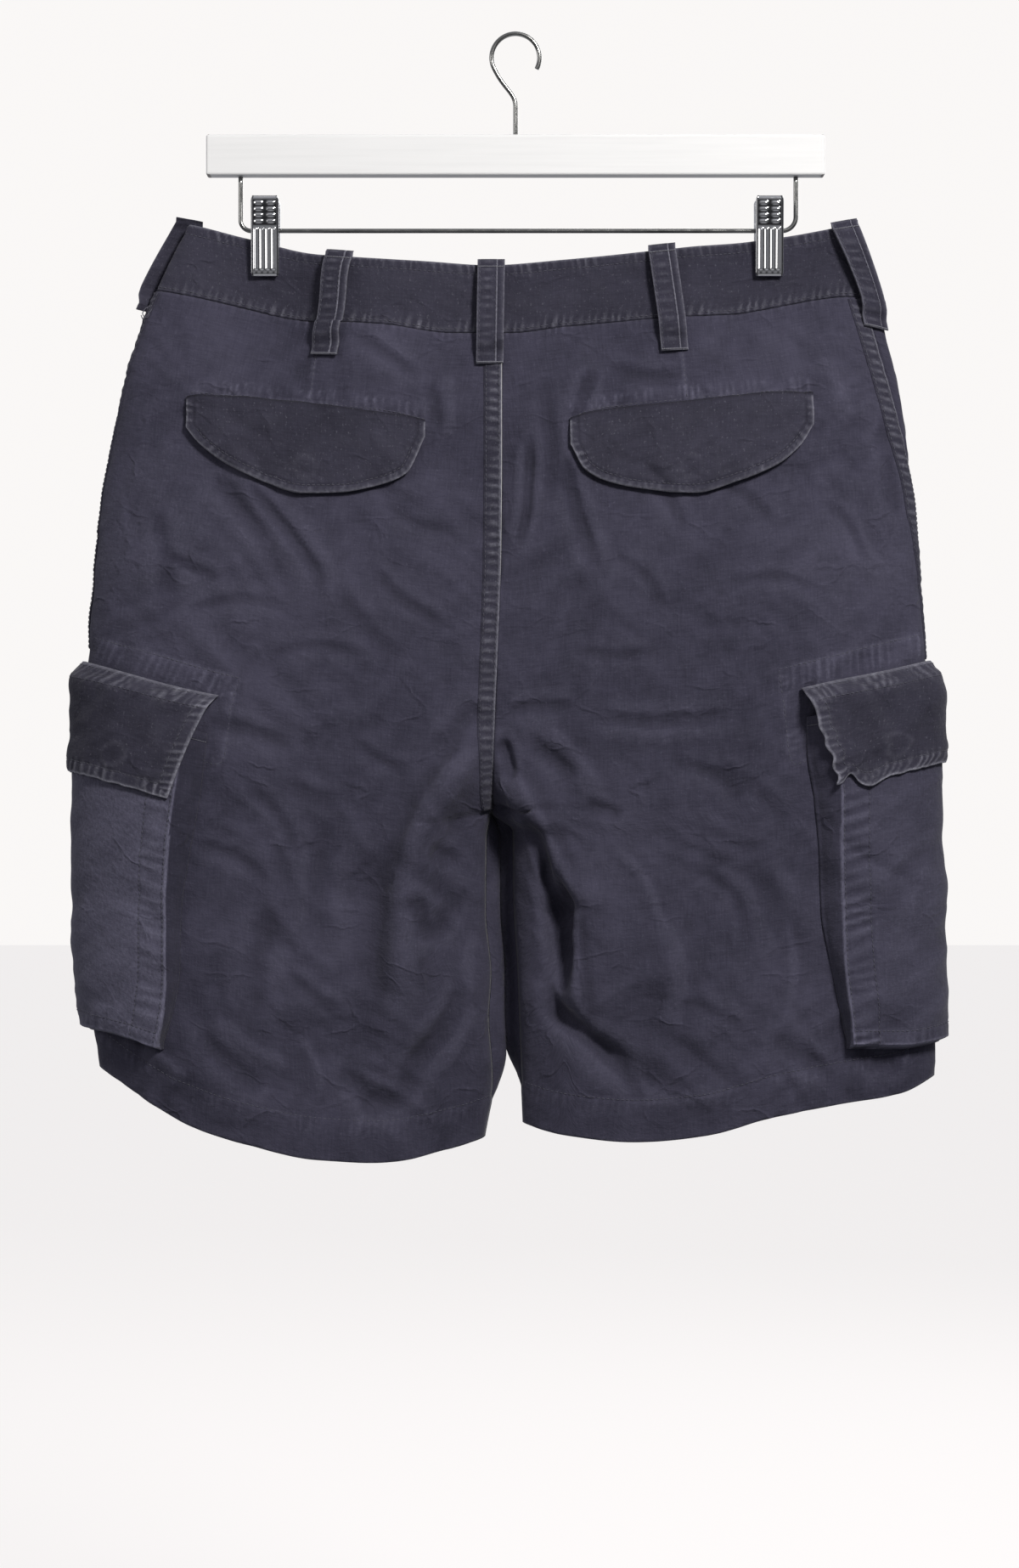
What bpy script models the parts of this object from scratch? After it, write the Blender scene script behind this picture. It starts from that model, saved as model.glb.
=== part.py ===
"""Cargo shorts held by the waistband on a clip hanger.

The back of the shorts faces -Y and +Z is up.  The origin is the underside of the
hanger hook's crown, where the hook rests.  Each leg side of the shorts is one
skin, worked out from a table of sections: down its length it runs from the
waist seam (0) to the hem (1), and across it runs from the centre seam, or the
inner edge of the leg (0), to the outer fold (1), once for the back face and
once for the front face.  Every cloth piece is a wall laid on that skin.
"""

from collections import namedtuple
from math import cos, exp, pi, radians, sin, sqrt

import bmesh
import bpy
from mathutils import Matrix, Vector

MM = 0.001                  # the tables are in millimetres, and everything else in metres

LEFT, RIGHT = "left", "right"
BACK, FRONT = -1, 1         # the side of the cloth, as the sign of its Y

# Cloth
WALL = 1.2 * MM             # body canvas
HEM_WALL = 2.4 * MM         # the turned hem, two layers
HEM_START = 0.945           # how far down the hem's fold begins
BAND_WALL = 2.0 * MM
LOOP_WALL = 1.6 * MM
FLAP_WALL = 1.8 * MM
SEAM_GAP = 0.3 * MM         # between neighbouring pieces
LAY_GAP = 0.9 * MM          # under a piece that lies on a panel

# The skin's form
BAND_HEIGHT = 44.0 * MM
BODY_LENGTH = 515.0 * MM    # from the waist seam to the hem, down the middle of a leg
CROTCH = 0.595              # how far down the crotch point is
SEAT_TURN = 0.38            # how far down the seat begins to turn under
FOLD_POWER = 6.0            # how squarely the cloth runs out to its outer and inner folds
END_CROWDING = 0.8          # how much the grid's columns crowd at the folds
FLAP_CROWDING = 0.6
FRONT_THIGH_BULGE = 6.5 * MM   # how far the front of a thigh stands towards the other leg

Section = namedtuple("Section", "down outer_left centre outer_right half_depth")
SECTIONS = (
    Section(0.000, -233.0, -9.0, 236.0, 14.0),     # waist seam
    Section(0.060, -245.0, -9.0, 242.5, 18.0),
    Section(0.150, -256.0, -9.0, 251.5, 23.0),     # hip
    Section(0.280, -268.0, -9.5, 258.5, 28.0),
    Section(0.420, -275.0, -12.0, 264.5, 31.0),    # seat
    Section(0.500, -278.5, -14.0, 267.0, 32.0),
    Section(0.595, -279.0, -16.0, 268.0, 33.0),    # crotch
    Section(0.720, -279.0, -16.0, 269.5, 34.5),    # thigh
    Section(0.850, -278.5, -16.0, 271.0, 36.0),
    Section(0.930, -275.0, -16.0, 272.0, 36.0),
    Section(1.000, -269.0, -16.0, 271.0, 35.0),    # hem
)
# The inner edge of each leg, from the crotch down
InnerLeg = namedtuple("InnerLeg", "down left right")
INNER_LEGS = (
    InnerLeg(0.595, -16.0, -16.0), InnerLeg(0.630, -18.5, -2.0), InnerLeg(0.720, -19.0, -1.5),
    InnerLeg(0.800, -15.5, 1.0), InnerLeg(0.850, -17.0, 2.0), InnerLeg(0.930, -14.5, 3.5),
    InnerLeg(1.000, -20.0, 5.0),
)

WaistPoint = namedtuple("WaistPoint", "x seam")
WAIST_SEAM = (
    WaistPoint(-233, -165), WaistPoint(-188, -174), WaistPoint(-130, -186), WaistPoint(-88, -188),
    WaistPoint(-41, -194), WaistPoint(-5, -194), WaistPoint(32, -190), WaistPoint(88, -185),
    WaistPoint(139, -181), WaistPoint(193, -172), WaistPoint(215, -170), WaistPoint(236, -173),
)
BandPoint = namedtuple("BandPoint", "x top")
BAND_TOP = (
    BandPoint(-212, -122), BandPoint(-171, -132), BandPoint(-123, -143), BandPoint(-57, -147.5),
    BandPoint(-17, -150), BandPoint(31, -146.5), BandPoint(95, -140), BandPoint(155, -133),
    BandPoint(201, -126), BandPoint(222, -122),
)
BAND_TOP_DEPTH = 12.0 * MM

HemPoint = namedtuple("HemPoint", "across left_back right_back left_front right_front")
HEM = (
    HemPoint(0.00, -712, -703, -707, -699),
    HemPoint(0.09, -718, -709, -712, -704),
    HemPoint(0.27, -726, -713, -719, -709),
    HemPoint(0.43, -724, -709, -718, -706),
    HemPoint(0.60, -715, -697, -711, -696),
    HemPoint(0.75, -703, -689, -701, -688),
    HemPoint(0.90, -682, -683, -687, -682),
    HemPoint(1.00, -666, -672, -666, -672),
)

# How far the side seam lies from the outer fold, towards the back when positive
SideSeam = namedtuple("SideSeam", "down left right")
SIDE_SEAM = (
    SideSeam(0.00, -10, 14), SideSeam(0.13, -10, 11), SideSeam(0.25, -10, 2),
    SideSeam(0.45, -10, -7), SideSeam(1.00, -9, -7),
)

# Soft ridges (or troughs, where the height is negative) from one place to another
Fold = namedtuple("Fold", "face x0 z0 x1 z1 width height")
FOLDS = (
    Fold(BACK, -29, -459, -66, -522, 15, 5.0),     # left thigh, below the crotch
    Fold(BACK, -66, -522, -72, -600, 16, 6.0),
    Fold(BACK, -72, -600, -82, -660, 18, 4.5),
    Fold(BACK, -100, -560, -112, -650, 20, -3.5),
    Fold(BACK, 8, -500, 44, -560, 16, 5.0),        # right thigh, the big fold beside the inner leg
    Fold(BACK, 44, -560, 52, -640, 16, 5.5),
    Fold(BACK, 23, -545, 27, -628, 11, -6.0),
    Fold(BACK, 22, -616, 78, -670, 14, -4.0),
    Fold(BACK, 80, -592, 120, -640, 22, 3.5),
    Fold(BACK, -168, -293, -116, -365, 18, 3.5),   # seat, below the left flap
    Fold(BACK, 42, -222, 34, -276, 14, 3.0),       # down past the right flap's corner
    Fold(BACK, 34, -276, 54, -358, 16, 3.5),
    Fold(BACK, -105, -196, -58, -228, 14, 2.5),    # under the waistband
    Fold(BACK, 130, -560, 190, -600, 26, -3.0),
    Fold(BACK, -225, -640, -165, -690, 16, 3.0),   # left hem
    Fold(FRONT, -60, -455, -95, -560, 18, 5.0),
    Fold(FRONT, -95, -560, -90, -660, 18, 4.5),
    Fold(FRONT, -130, -590, -135, -670, 20, -3.5),
    Fold(FRONT, 40, -470, 74, -575, 18, 5.0),
    Fold(FRONT, 74, -575, 66, -655, 18, 4.0),
    Fold(FRONT, 112, -575, 120, -660, 20, -3.5),
    Fold(FRONT, -70, -215, -120, -300, 18, 3.5),
    Fold(FRONT, 75, -210, 125, -300, 18, 3.5),
    Fold(FRONT, 30, -360, 90, -420, 16, -3.0),
    Fold(FRONT, -45, -370, -110, -425, 16, -3.0),
)
FOLD_EDGE_FADE = 0.35       # folds die out where the cloth is this far into its turn

# Grid sizes
# The grid's columns as shares across a face, close at both folds and beside the clips
COLUMNS = (
    0.0, 0.018, 0.06, 0.13, 0.22, 0.32, 0.42, 0.52, 0.60,
    0.652, 0.71, 0.765, 0.83, 0.89, 0.94, 0.975, 0.995, 1.0,
)
SEAM_REACH = 0.70           # columns past this turn follow the side seam
TORSO_ROWS = 11
LEG_ROWS = 8
BAND_ROWS = 2
TURN_STEP = 0.004           # the step used to measure slopes round the skin

# Hanger
BAR_LENGTH = 400.0 * MM
BAR_DEPTH = 12.0 * MM
BAR_TOP, BAR_BOTTOM = -64.6 * MM, -91.0 * MM
BAR_EDGE = 1.5 * MM
WIRE_RADIUS = 1.5 * MM
HOOK_RADIUS = 15.5 * MM     # to the wire's middle
HOOK_TIP_ANGLE, HOOK_NECK_ANGLE = -28, 205
HOOK_STEM_TOP = -46.0 * MM
RUN_Z = -126.2 * MM         # the lower wire's level stretch
RUN_LEFT, RUN_RIGHT = -178.0 * MM, 181.5 * MM
RUN_LEFT_BEND, RUN_RIGHT_BEND = 7.0 * MM, 9.0 * MM
CLIP_X = (-161.8 * MM, 164.0 * MM)
CLIP_WIDTH = 18.0 * MM
CLIP_TOP, CLIP_BOTTOM = -104.8 * MM, -156.5 * MM
CLIP_SHEET = 1.0 * MM
CLIP_LIP_DEPTH = 5.0 * MM   # how far the lower end stands off the cloth
CLIP_TAB_DEPTH = 8.5 * MM   # how far the finger tab stands off the wire's plane
PINCHED = 2.4 * MM          # half the depth of the waistband between the jaws
PINCH_FLAT, PINCH_FADE = 13.0 * MM, 42.0 * MM
PINCH_HOLD, PINCH_LOOSE = 24.0 * MM, 115.0 * MM   # below the band's top edge

# Colours
NAVY = (0.045, 0.045, 0.075)
NAVY_TRIM = (0.040, 0.040, 0.066)
WHITE_PAINT = (0.88, 0.88, 0.87)
CHROME = (0.80, 0.80, 0.82)
BUTTON_HORN = (0.05, 0.045, 0.05)


# ---------------------------------------------------------------- small helpers

def smoothstep(value):
    """An even rise from 0 to 1."""
    value = min(1.0, max(0.0, value))
    return value * value * (3.0 - 2.0 * value)


def blend(first, second, share):
    """The value a share of the way from first to second."""
    return first + (second - first) * share


def along(table, column, where):
    """A named column's value between a table's rows, as a smooth curve that never overshoots."""
    places = [row[0] for row in table]
    values = [getattr(row, column) for row in table]
    if where <= places[0]:
        return values[0]
    if where >= places[-1]:
        return values[-1]
    slopes = [(values[i + 1] - values[i]) / (places[i + 1] - places[i]) for i in range(len(places) - 1)]

    def tangent(row):
        before = slopes[max(row - 1, 0)]
        after = slopes[min(row, len(slopes) - 1)]
        if before * after <= 0.0:
            return 0.0
        return 2.0 * before * after / (before + after)

    row = max(i for i in range(len(places) - 1) if places[i] <= where)
    span = places[row + 1] - places[row]
    part = (where - places[row]) / span
    rest = 1.0 - part
    return ((1.0 + 2.0 * part) * rest ** 2 * values[row] + part ** 2 * (3.0 - 2.0 * part) * values[row + 1]
            + span * part * rest ** 2 * tangent(row) - span * part ** 2 * rest * tangent(row + 1))


def crowd(share):
    """Spread a column's share so that columns crowd at both folds."""
    return share - END_CROWDING * sin(2.0 * pi * share) / (2.0 * pi)


def crowd_less(share):
    """The same, with less crowding, for a flap's columns."""
    return share - FLAP_CROWDING * sin(2.0 * pi * share) / (2.0 * pi)


def uncrowd(across):
    """The share that crowd() takes to this share."""
    low, high = 0.0, 1.0
    for _ in range(40):
        middle = 0.5 * (low + high)
        if crowd(middle) < across:
            low = middle
        else:
            high = middle
    return high


# ---------------------------------------------------------------- the skin

def pinch(x):
    """1 at a clip, where the waistband's two layers are held together, and 0 away from it."""
    nearest = min(abs(x - clip) for clip in CLIP_X)
    return 1.0 - smoothstep((nearest - PINCH_FLAT) / PINCH_FADE)


def half_depth(x, below_top, loose):
    """Half the depth of the shorts at x, where the cloth hangs loose by the given half depth."""
    hold = 1.0 - smoothstep((below_top - PINCH_HOLD) / (PINCH_LOOSE - PINCH_HOLD))
    return blend(loose, PINCHED, pinch(x) * hold)


def fold_relief(face, x, z):
    """How far the folds raise one face of the cloth at a place."""
    relief = 0.0
    for fold in FOLDS:
        if fold.face != face:
            continue
        start, end = Vector((fold.x0, fold.z0)) * MM, Vector((fold.x1, fold.z1)) * MM
        run, here = end - start, Vector((x, z)) - start
        part = min(1.0, max(0.0, here.dot(run) / run.dot(run)))
        away = (here - run * part).length
        relief += fold.height * MM * exp(-(away / (fold.width * MM)) ** 2)
    return relief


def seat_turn(down):
    """How deep the centre seam still is: full at the seat, nothing at the crotch."""
    if down >= CROTCH:
        return 0.0
    part = max(0.0, (down - SEAT_TURN) / (CROTCH - SEAT_TURN))
    return sqrt(1.0 - part * part)


def edges(side, down):
    """X of a side's inner edge (the centre seam or the inner leg) and of its outer fold."""
    inner = along(SECTIONS, "centre", down) if down <= CROTCH else along(INNER_LEGS, side, down)
    return inner * MM, along(SECTIONS, "outer_" + side, down) * MM


def skin(side, face, across, down):
    """A point on the outside of the body cloth."""
    inner, outer = edges(side, down)
    x = blend(inner, outer, across)
    face_name = "back" if face == BACK else "front"
    hem = along(HEM, side + "_" + face_name, across) * MM
    waist_x = blend(SECTIONS[0].centre, getattr(SECTIONS[0], "outer_" + side), across)
    z = blend(along(WAIST_SEAM, "seam", waist_x) * MM, hem, down)

    outer_turn = sqrt(max(0.0, 1.0 - across ** FOLD_POWER))
    inner_turn = sqrt(max(0.0, 1.0 - (1.0 - across) ** FOLD_POWER))
    turn = outer_turn * blend(inner_turn, 1.0, seat_turn(down))
    below_top = BAND_HEIGHT + down * BODY_LENGTH
    depth = half_depth(x, below_top, along(SECTIONS, "half_depth", down) * MM) * turn
    depth += fold_relief(face, x, z) * smoothstep(turn / FOLD_EDGE_FADE - 1.0)
    if face == FRONT and down > CROTCH:
        near_inner = across * (1.0 - across) * exp(-(across / 0.10) ** 2) / 0.043
        closing = smoothstep((down - CROTCH) / 0.08) * (1.0 - smoothstep((down - 0.86) / 0.14))
        x += FRONT_THIGH_BULGE * near_inner * closing * (1 if side == LEFT else -1)
    return Vector((x, face * depth, z))


def loop(side, turn, down):
    """A point round one side's skin: 0 to 1 is the back face and 1 to 2 the front face."""
    if turn <= 1.0:
        return skin(side, BACK, crowd(max(0.0, turn)), down)
    return skin(side, FRONT, crowd(max(0.0, 2.0 - turn)), down)


def outward(side, turn, down):
    """The skin's outward normal, level with its neighbour's wherever two pieces meet."""
    low, high = max(0.0, turn - TURN_STEP), min(2.0, turn + TURN_STEP)
    up, below = max(0.0, down - TURN_STEP), min(1.0, down + TURN_STEP)
    over = loop(side, high, down) - loop(side, low, down)
    along_down = loop(side, turn, below) - loop(side, turn, up)
    normal = over.cross(along_down)
    if side == RIGHT:
        normal.negate()
    if turn < 1e-6 or turn > 2.0 - 1e-6:
        if abs(down - CROTCH) < 1e-6:
            return Vector((0.0, 0.0, -1.0))
        if down < CROTCH:
            normal.x = 0.0
        else:
            normal.y = 0.0
    return normal.normalized()


def side_seam_turn(side, down):
    """Where the side seam is, as a turn round the skin."""
    shift = along(SIDE_SEAM, side, down) * MM
    direction = -1.0 if shift > 0.0 else 1.0
    turn, left_over = 1.0, abs(shift)
    while left_over > 0.0:
        piece = (loop(side, turn + direction * TURN_STEP, down) - loop(side, turn, down)).length
        turn += direction * TURN_STEP * min(1.0, left_over / piece)
        left_over -= piece
    return turn


def on_panel(face, x, z):
    """The side, the turn and the distance down of a place on one face."""
    side = LEFT if x < 0.0 else RIGHT
    face_name = "back" if face == BACK else "front"
    down = 0.3
    across = 0.5
    for _ in range(24):
        inner, outer = edges(side, down)
        across = min(1.0, max(0.0, (x - inner) / (outer - inner)))
        waist_x = blend(SECTIONS[0].centre, getattr(SECTIONS[0], "outer_" + side), across)
        top = along(WAIST_SEAM, "seam", waist_x) * MM
        hem = along(HEM, side + "_" + face_name, across) * MM
        down = (z - top) / (hem - top)
    turn = uncrowd(across)
    return side, (turn if face == BACK else 2.0 - turn), down


def panel_turns(side, face, down):
    """The turns of a panel's columns, from its inner edge to the side seam."""
    seam = side_seam_turn(side, down)
    reach = seam if face == BACK else 2.0 - seam
    turns = []
    for share in COLUMNS:
        turn = uncrowd(share)
        turn *= blend(1.0, reach, smoothstep((turn - SEAM_REACH) / (1.0 - SEAM_REACH)))
        turns.append(turn if face == BACK else 2.0 - turn)
    return turns


def band_point(side, turn, up):
    """A point on the waistband's outer face: up is 0 at the waist seam and 1 at the top edge."""
    face = BACK if turn <= 1.0 else FRONT
    across = crowd(max(0.0, turn if turn <= 1.0 else 2.0 - turn))
    waist = SECTIONS[0]
    low_x = blend(waist.centre, getattr(waist, "outer_" + side), across)
    end = BAND_TOP[0].x if side == LEFT else BAND_TOP[-1].x
    high_x = blend(waist.centre, end, across)
    x = blend(low_x, high_x, up) * MM
    z = blend(along(WAIST_SEAM, "seam", low_x), along(BAND_TOP, "top", high_x), up) * MM
    loose = blend(waist.half_depth * MM, BAND_TOP_DEPTH, up)
    depth = half_depth(x, BAND_HEIGHT * (1.0 - up), loose) * sqrt(max(0.0, 1.0 - across ** FOLD_POWER))
    return Vector((x, face * depth, z))


def band_outward(side, turn, up):
    """The waistband's outward normal."""
    low, high = max(0.0, turn - TURN_STEP), min(2.0, turn + TURN_STEP)
    over = band_point(side, high, up) - band_point(side, low, up)
    fall = band_point(side, turn, 0.0) - band_point(side, turn, 1.0)
    normal = over.cross(fall)
    if side == RIGHT:
        normal.negate()
    return normal.normalized()


# ---------------------------------------------------------------- building solids

def finish_object(name, mesh, colour, roughness, metallic=0.0):
    """Put a mesh in the scene as one named object with a material of its own."""
    material = bpy.data.materials.new(name)
    material.use_nodes = True
    shader = material.node_tree.nodes["Principled BSDF"]
    shader.inputs["Base Color"].default_value = (*colour, 1.0)
    shader.inputs["Roughness"].default_value = roughness
    shader.inputs["Metallic"].default_value = metallic
    mesh.materials.append(material)
    thing = bpy.data.objects.new(name, mesh)
    bpy.context.scene.collection.objects.link(thing)
    return thing


def wall(name, outside, inside, colour=NAVY):
    """A closed sheet of cloth between two grids of points, its outer and its inner face."""
    shape = bmesh.new()
    faces = [[[shape.verts.new(point) for point in row] for row in grid] for grid in (outside, inside)]
    rows, columns = len(outside), len(outside[0])
    for grid in faces:
        for i in range(rows - 1):
            for j in range(columns - 1):
                shape.faces.new((grid[i][j], grid[i][j + 1], grid[i + 1][j + 1], grid[i + 1][j]))
    rim = [(0, j) for j in range(columns)] + [(i, columns - 1) for i in range(1, rows)]
    rim += [(rows - 1, j) for j in range(columns - 2, -1, -1)] + [(i, 0) for i in range(rows - 2, 0, -1)]
    outer, inner = faces
    for (i, j), (k, m) in zip(rim, rim[1:] + rim[:1]):
        shape.faces.new((outer[i][j], outer[k][m], inner[k][m], inner[i][j]))
    bmesh.ops.recalc_face_normals(shape, faces=shape.faces)
    mesh = bpy.data.meshes.new(name)
    shape.to_mesh(mesh)
    shape.free()
    mesh.shade_smooth()
    mesh.set_sharp_from_angle(angle=radians(40))
    return finish_object(name, mesh, colour, 0.85)


def share_rows(count, start, end):
    """Evenly spaced values from start to end."""
    return [blend(start, end, i / count) for i in range(count + 1)]


def wire(name, points):
    """A round wire through points, with closed ends."""
    curve = bpy.data.curves.new(name, "CURVE")
    curve.dimensions = "3D"
    curve.bevel_depth = WIRE_RADIUS
    curve.bevel_resolution = 3
    curve.use_fill_caps = True
    spline = curve.splines.new("POLY")
    spline.points.add(len(points) - 1)
    for spot, point in zip(spline.points, points):
        spot.co = (*point, 1.0)
    return finish_object(name, curve, CHROME, 0.12, 1.0)


# ---------------------------------------------------------------- body panels

def panel(name, side, face):
    """One of the four body panels, from the centre seam or inseam to the side seam."""
    downs = share_rows(TORSO_ROWS, 0.0, CROTCH) + share_rows(LEG_ROWS, CROTCH, 1.0)[1:]
    seam_half = 0.5 * SEAM_GAP
    inwards = -1 if side == LEFT else 1     # from the centre seam into this side, along X
    outside, inside = [], []
    for down in downs:
        turns = panel_turns(side, face, down)
        thickness = HEM_WALL if down > HEM_START else WALL
        outer_row, inner_row = [], []
        for column, turn in enumerate(turns):
            point = loop(side, turn, down)
            normal = outward(side, turn, down)
            if column == 0:
                if down < CROTCH + 1e-6:
                    point.x += inwards * seam_half
                if down > CROTCH - 1e-6:
                    point.y += face * seam_half
            if column == len(turns) - 1:
                back_along = (point - loop(side, blend(turn, turns[-2], 0.05), down)).normalized()
                point -= back_along * seam_half
            if down == 0.0:
                point.z -= seam_half
            outer_row.append(point)
            inner_row.append(point - normal * thickness)
        outside.append(outer_row)
        inside.append(inner_row)
    wall(name, outside, inside)


# ---------------------------------------------------------------- waistband and belt loops

OVERLAP_LIFT = 2.4 * MM     # the left front end lies over the right one
OVERLAP_RISE, OVERLAP_RUN = -32.0 * MM, 18.0 * MM
BAND_SEAM_STEP = 0.0012     # half the seam gap, as a turn near the folds


def band(name, spots):
    """A stretch of waistband through spots of (side, turn, lift off the waist's own line)."""
    outside, inside = [], []
    for up in share_rows(BAND_ROWS, 0.0, 1.0):
        outer_row, inner_row = [], []
        for side, turn, lift in spots:
            normal = band_outward(side, turn, up)
            point = band_point(side, turn, up) + normal * lift
            if up == 0.0:
                point.z += 0.5 * SEAM_GAP
            outer_row.append(point)
            inner_row.append(point - normal * BAND_WALL)
        outside.append(outer_row)
        inside.append(inner_row)
    wall(name, outside, inside)


def waistband():
    """The back and the two front pieces, joined under the side loops."""
    def turns(side, face):
        spots = panel_turns(side, face, 0.0)
        spots[-1] += face * BAND_SEAM_STEP
        return spots

    back = [(LEFT, turn, 0.0) for turn in reversed(turns(LEFT, BACK)[1:])]
    back += [(RIGHT, turn, 0.0) for turn in turns(RIGHT, BACK)]
    band("waistband_back", back)

    over = []
    for turn in reversed(turns(LEFT, FRONT)):
        x = band_point(LEFT, turn, 0.5).x
        over.append((LEFT, turn, OVERLAP_LIFT * smoothstep((x - OVERLAP_RISE) / OVERLAP_RUN)))
    over += [(RIGHT, turn, OVERLAP_LIFT) for turn in turns(RIGHT, FRONT)[1:4]]
    band("waistband_front_left", over)
    band("waistband_front_right", [(RIGHT, turn, 0.0) for turn in reversed(turns(RIGHT, FRONT))])


# A loop's middle at its foot and its head, how far it hangs off the band between them, and how far it
# is swung round from the cloth behind it, in degrees
BeltLoop = namedtuple("BeltLoop", "name side foot_turn head_turn foot_drop slack foot_swing head_swing")
BELT_LOOPS = (
    BeltLoop("back_left", LEFT, 0.494, 0.506, 21.0, 5.2, 0, 0),
    BeltLoop("back_centre", LEFT, 0.120, 0.120, 20.0, 5.2, 0, 0),
    BeltLoop("back_right", RIGHT, 0.470, 0.470, 21.5, 5.2, 0, 0),
    BeltLoop("side_right", RIGHT, 0.884, 0.855, 19.0, 5.2, 0, 0),
    BeltLoop("side_left", LEFT, 1.020, 1.020, 14.0, 6.5, -14, -50),
    BeltLoop("front_left", LEFT, 1.560, 1.560, 18.0, 5.2, 0, 0),
    BeltLoop("front_right", RIGHT, 1.560, 1.560, 18.0, 5.2, 0, 0),
)
LOOP_WIDTH = 17.6 * MM
LOOP_HEAD = 3.6 * MM        # how far a loop's head stands above the band
# A loop's course: up is measured in band heights, and off is its share of the slack
LoopStep = namedtuple("LoopStep", "up off")
LOOP_COURSE = (
    LoopStep(-1.00, 0.0), LoopStep(-0.72, 0.0), LoopStep(-0.30, 0.85), LoopStep(0.15, 1.0),
    LoopStep(0.60, 1.0), LoopStep(0.88, 0.75), LoopStep(1.00, 0.30), LoopStep(1.08, 0.10),
)
LOOP_OVER = LOOP_COURSE[-1].up - 1.0


def cloth_under_loop(row, turn, up):
    """The cloth behind a belt loop, on the panel below the waist seam or on the band above it."""
    if up < 0.0:
        return loop(row.side, turn, -up * row.foot_drop * MM / BODY_LENGTH)
    return band_point(row.side, turn, min(up, 1.0))


def belt_loop(row):
    """A strip sewn down below the waist seam and at the band's top edge."""
    outside, inside = [], []
    for step in LOOP_COURSE:
        turn = blend(row.foot_turn, row.head_turn, smoothstep(step.up))
        base = cloth_under_loop(row, turn, step.up)
        sideways = cloth_under_loop(row, turn + 0.01, step.up) - cloth_under_loop(row, turn - 0.01, step.up)
        turns_per_metre = 0.02 / sideways.length
        if step.up < 0.0:
            normal = outward(row.side, turn, -step.up * row.foot_drop * MM / BODY_LENGTH)
        else:
            normal = band_outward(row.side, turn, 0.5)
        swing = Matrix.Rotation(radians(blend(row.foot_swing, row.head_swing, smoothstep(step.up))), 3, "Z")
        sideways, normal = swing @ sideways.normalized(), swing @ normal
        off = blend(LAY_GAP, row.slack * MM, step.off) + LOOP_WALL
        head = Vector((0.0, 0.0, LOOP_HEAD * max(0.0, step.up - 1.0) / LOOP_OVER))
        outer_row, inner_row = [], []
        for share in (-0.5, 0.0, 0.5):
            reach = share * LOOP_WIDTH
            behind = cloth_under_loop(row, turn + reach * turns_per_metre, step.up) - base
            clear = max(0.0, behind.dot(normal))
            point = base + head + sideways * reach + normal * (off + clear)
            outer_row.append(point)
            inner_row.append(point - normal * LOOP_WALL)
        outside.append(outer_row)
        inside.append(inner_row)
    wall("belt_loop_" + row.name, outside, inside, NAVY_TRIM)


# ---------------------------------------------------------------- flaps, pockets and fly

# The outline of each back flap, left to right
FlapPoint = namedtuple("FlapPoint", "x top bottom")
LEFT_FLAP = (
    FlapPoint(-211, -236, -256), FlapPoint(-203, -235, -266), FlapPoint(-186, -236, -279),
    FlapPoint(-160, -238, -292), FlapPoint(-137, -240, -299), FlapPoint(-110, -243, -298),
    FlapPoint(-86, -246, -293), FlapPoint(-70, -248, -286), FlapPoint(-58, -251, -262),
)
RIGHT_FLAP = (
    FlapPoint(35, -250, -268), FlapPoint(43, -247, -283), FlapPoint(58, -244, -291),
    FlapPoint(84, -241, -296), FlapPoint(115, -238, -298.5), FlapPoint(142, -235, -291),
    FlapPoint(166, -233.5, -281), FlapPoint(182, -233, -268), FlapPoint(191, -233, -254),
)
FLAP_ROWS = 4
FLAP_COLUMNS = 12
FLAP_LIFT = 1.6 * MM        # how far the flap's free edge stands off the panel


def back_flap(name, outline):
    """A flap on a back panel, sewn down along its top edge."""
    outside, inside = [], []
    for row in range(FLAP_ROWS + 1):
        share = row / FLAP_ROWS
        lift = blend(LAY_GAP, LAY_GAP + FLAP_LIFT, smoothstep(share * 1.5))
        outer_row, inner_row = [], []
        for column in range(FLAP_COLUMNS + 1):
            x = blend(outline[0].x, outline[-1].x, crowd_less(column / FLAP_COLUMNS))
            z = blend(along(outline, "top", x), along(outline, "bottom", x), share)
            side, turn, down = on_panel(BACK, x * MM, z * MM)
            base, normal = loop(side, turn, down), outward(side, turn, down)
            inner_row.append(base + normal * lift)
            outer_row.append(base + normal * (lift + FLAP_WALL))
        outside.append(outer_row)
        inside.append(inner_row)
    wall(name, outside, inside, NAVY_TRIM)


# Each cargo pocket wraps the outer fold.  Its edges are turns round the skin, at its mouth and its foot,
# and its foot is at one distance down at those edges and at another at the fold
CargoPocket = namedtuple(
    "CargoPocket", "side top_back top_front foot_back foot_front top edge_foot fold_foot")
CARGO_POCKETS = (
    CargoPocket(LEFT, 0.607, 1.43, 0.690, 1.38, 0.515, 0.917, 0.952),
    CargoPocket(RIGHT, 0.624, 1.42, 0.678, 1.38, 0.515, 0.932, 0.956),
)
POCKET_HEIGHT = 5.6 * MM    # at the outer fold
POCKET_BULGE = 0.75         # how much more it stands off away from the fold
POCKET_GAP = 1.6 * MM       # under the pocket's edges
# The gusset: how far in from the pocket's edge, as a turn, and how far it stands off, as a share
GussetStep = namedtuple("GussetStep", "inset off")
GUSSET = (GussetStep(0.00, 0.0), GussetStep(0.03, 0.10), GussetStep(0.07, 0.75), GussetStep(0.11, 1.0))
FACE_TURNS = (0.80, 0.86, 0.915, 0.96, 1.00, 1.04, 1.085, 1.14, 1.20)   # close round the outer fold
POCKET_ROWS = 7
POCKET_FOOT = 0.05          # the share of the pocket's length over which its foot comes back to the leg


def pocket_rise(turn):
    """How far a cargo pocket's face stands off the leg."""
    return POCKET_HEIGHT * (1.0 + POCKET_BULGE * smoothstep(abs(turn - 1.0) / 0.28))


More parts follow.
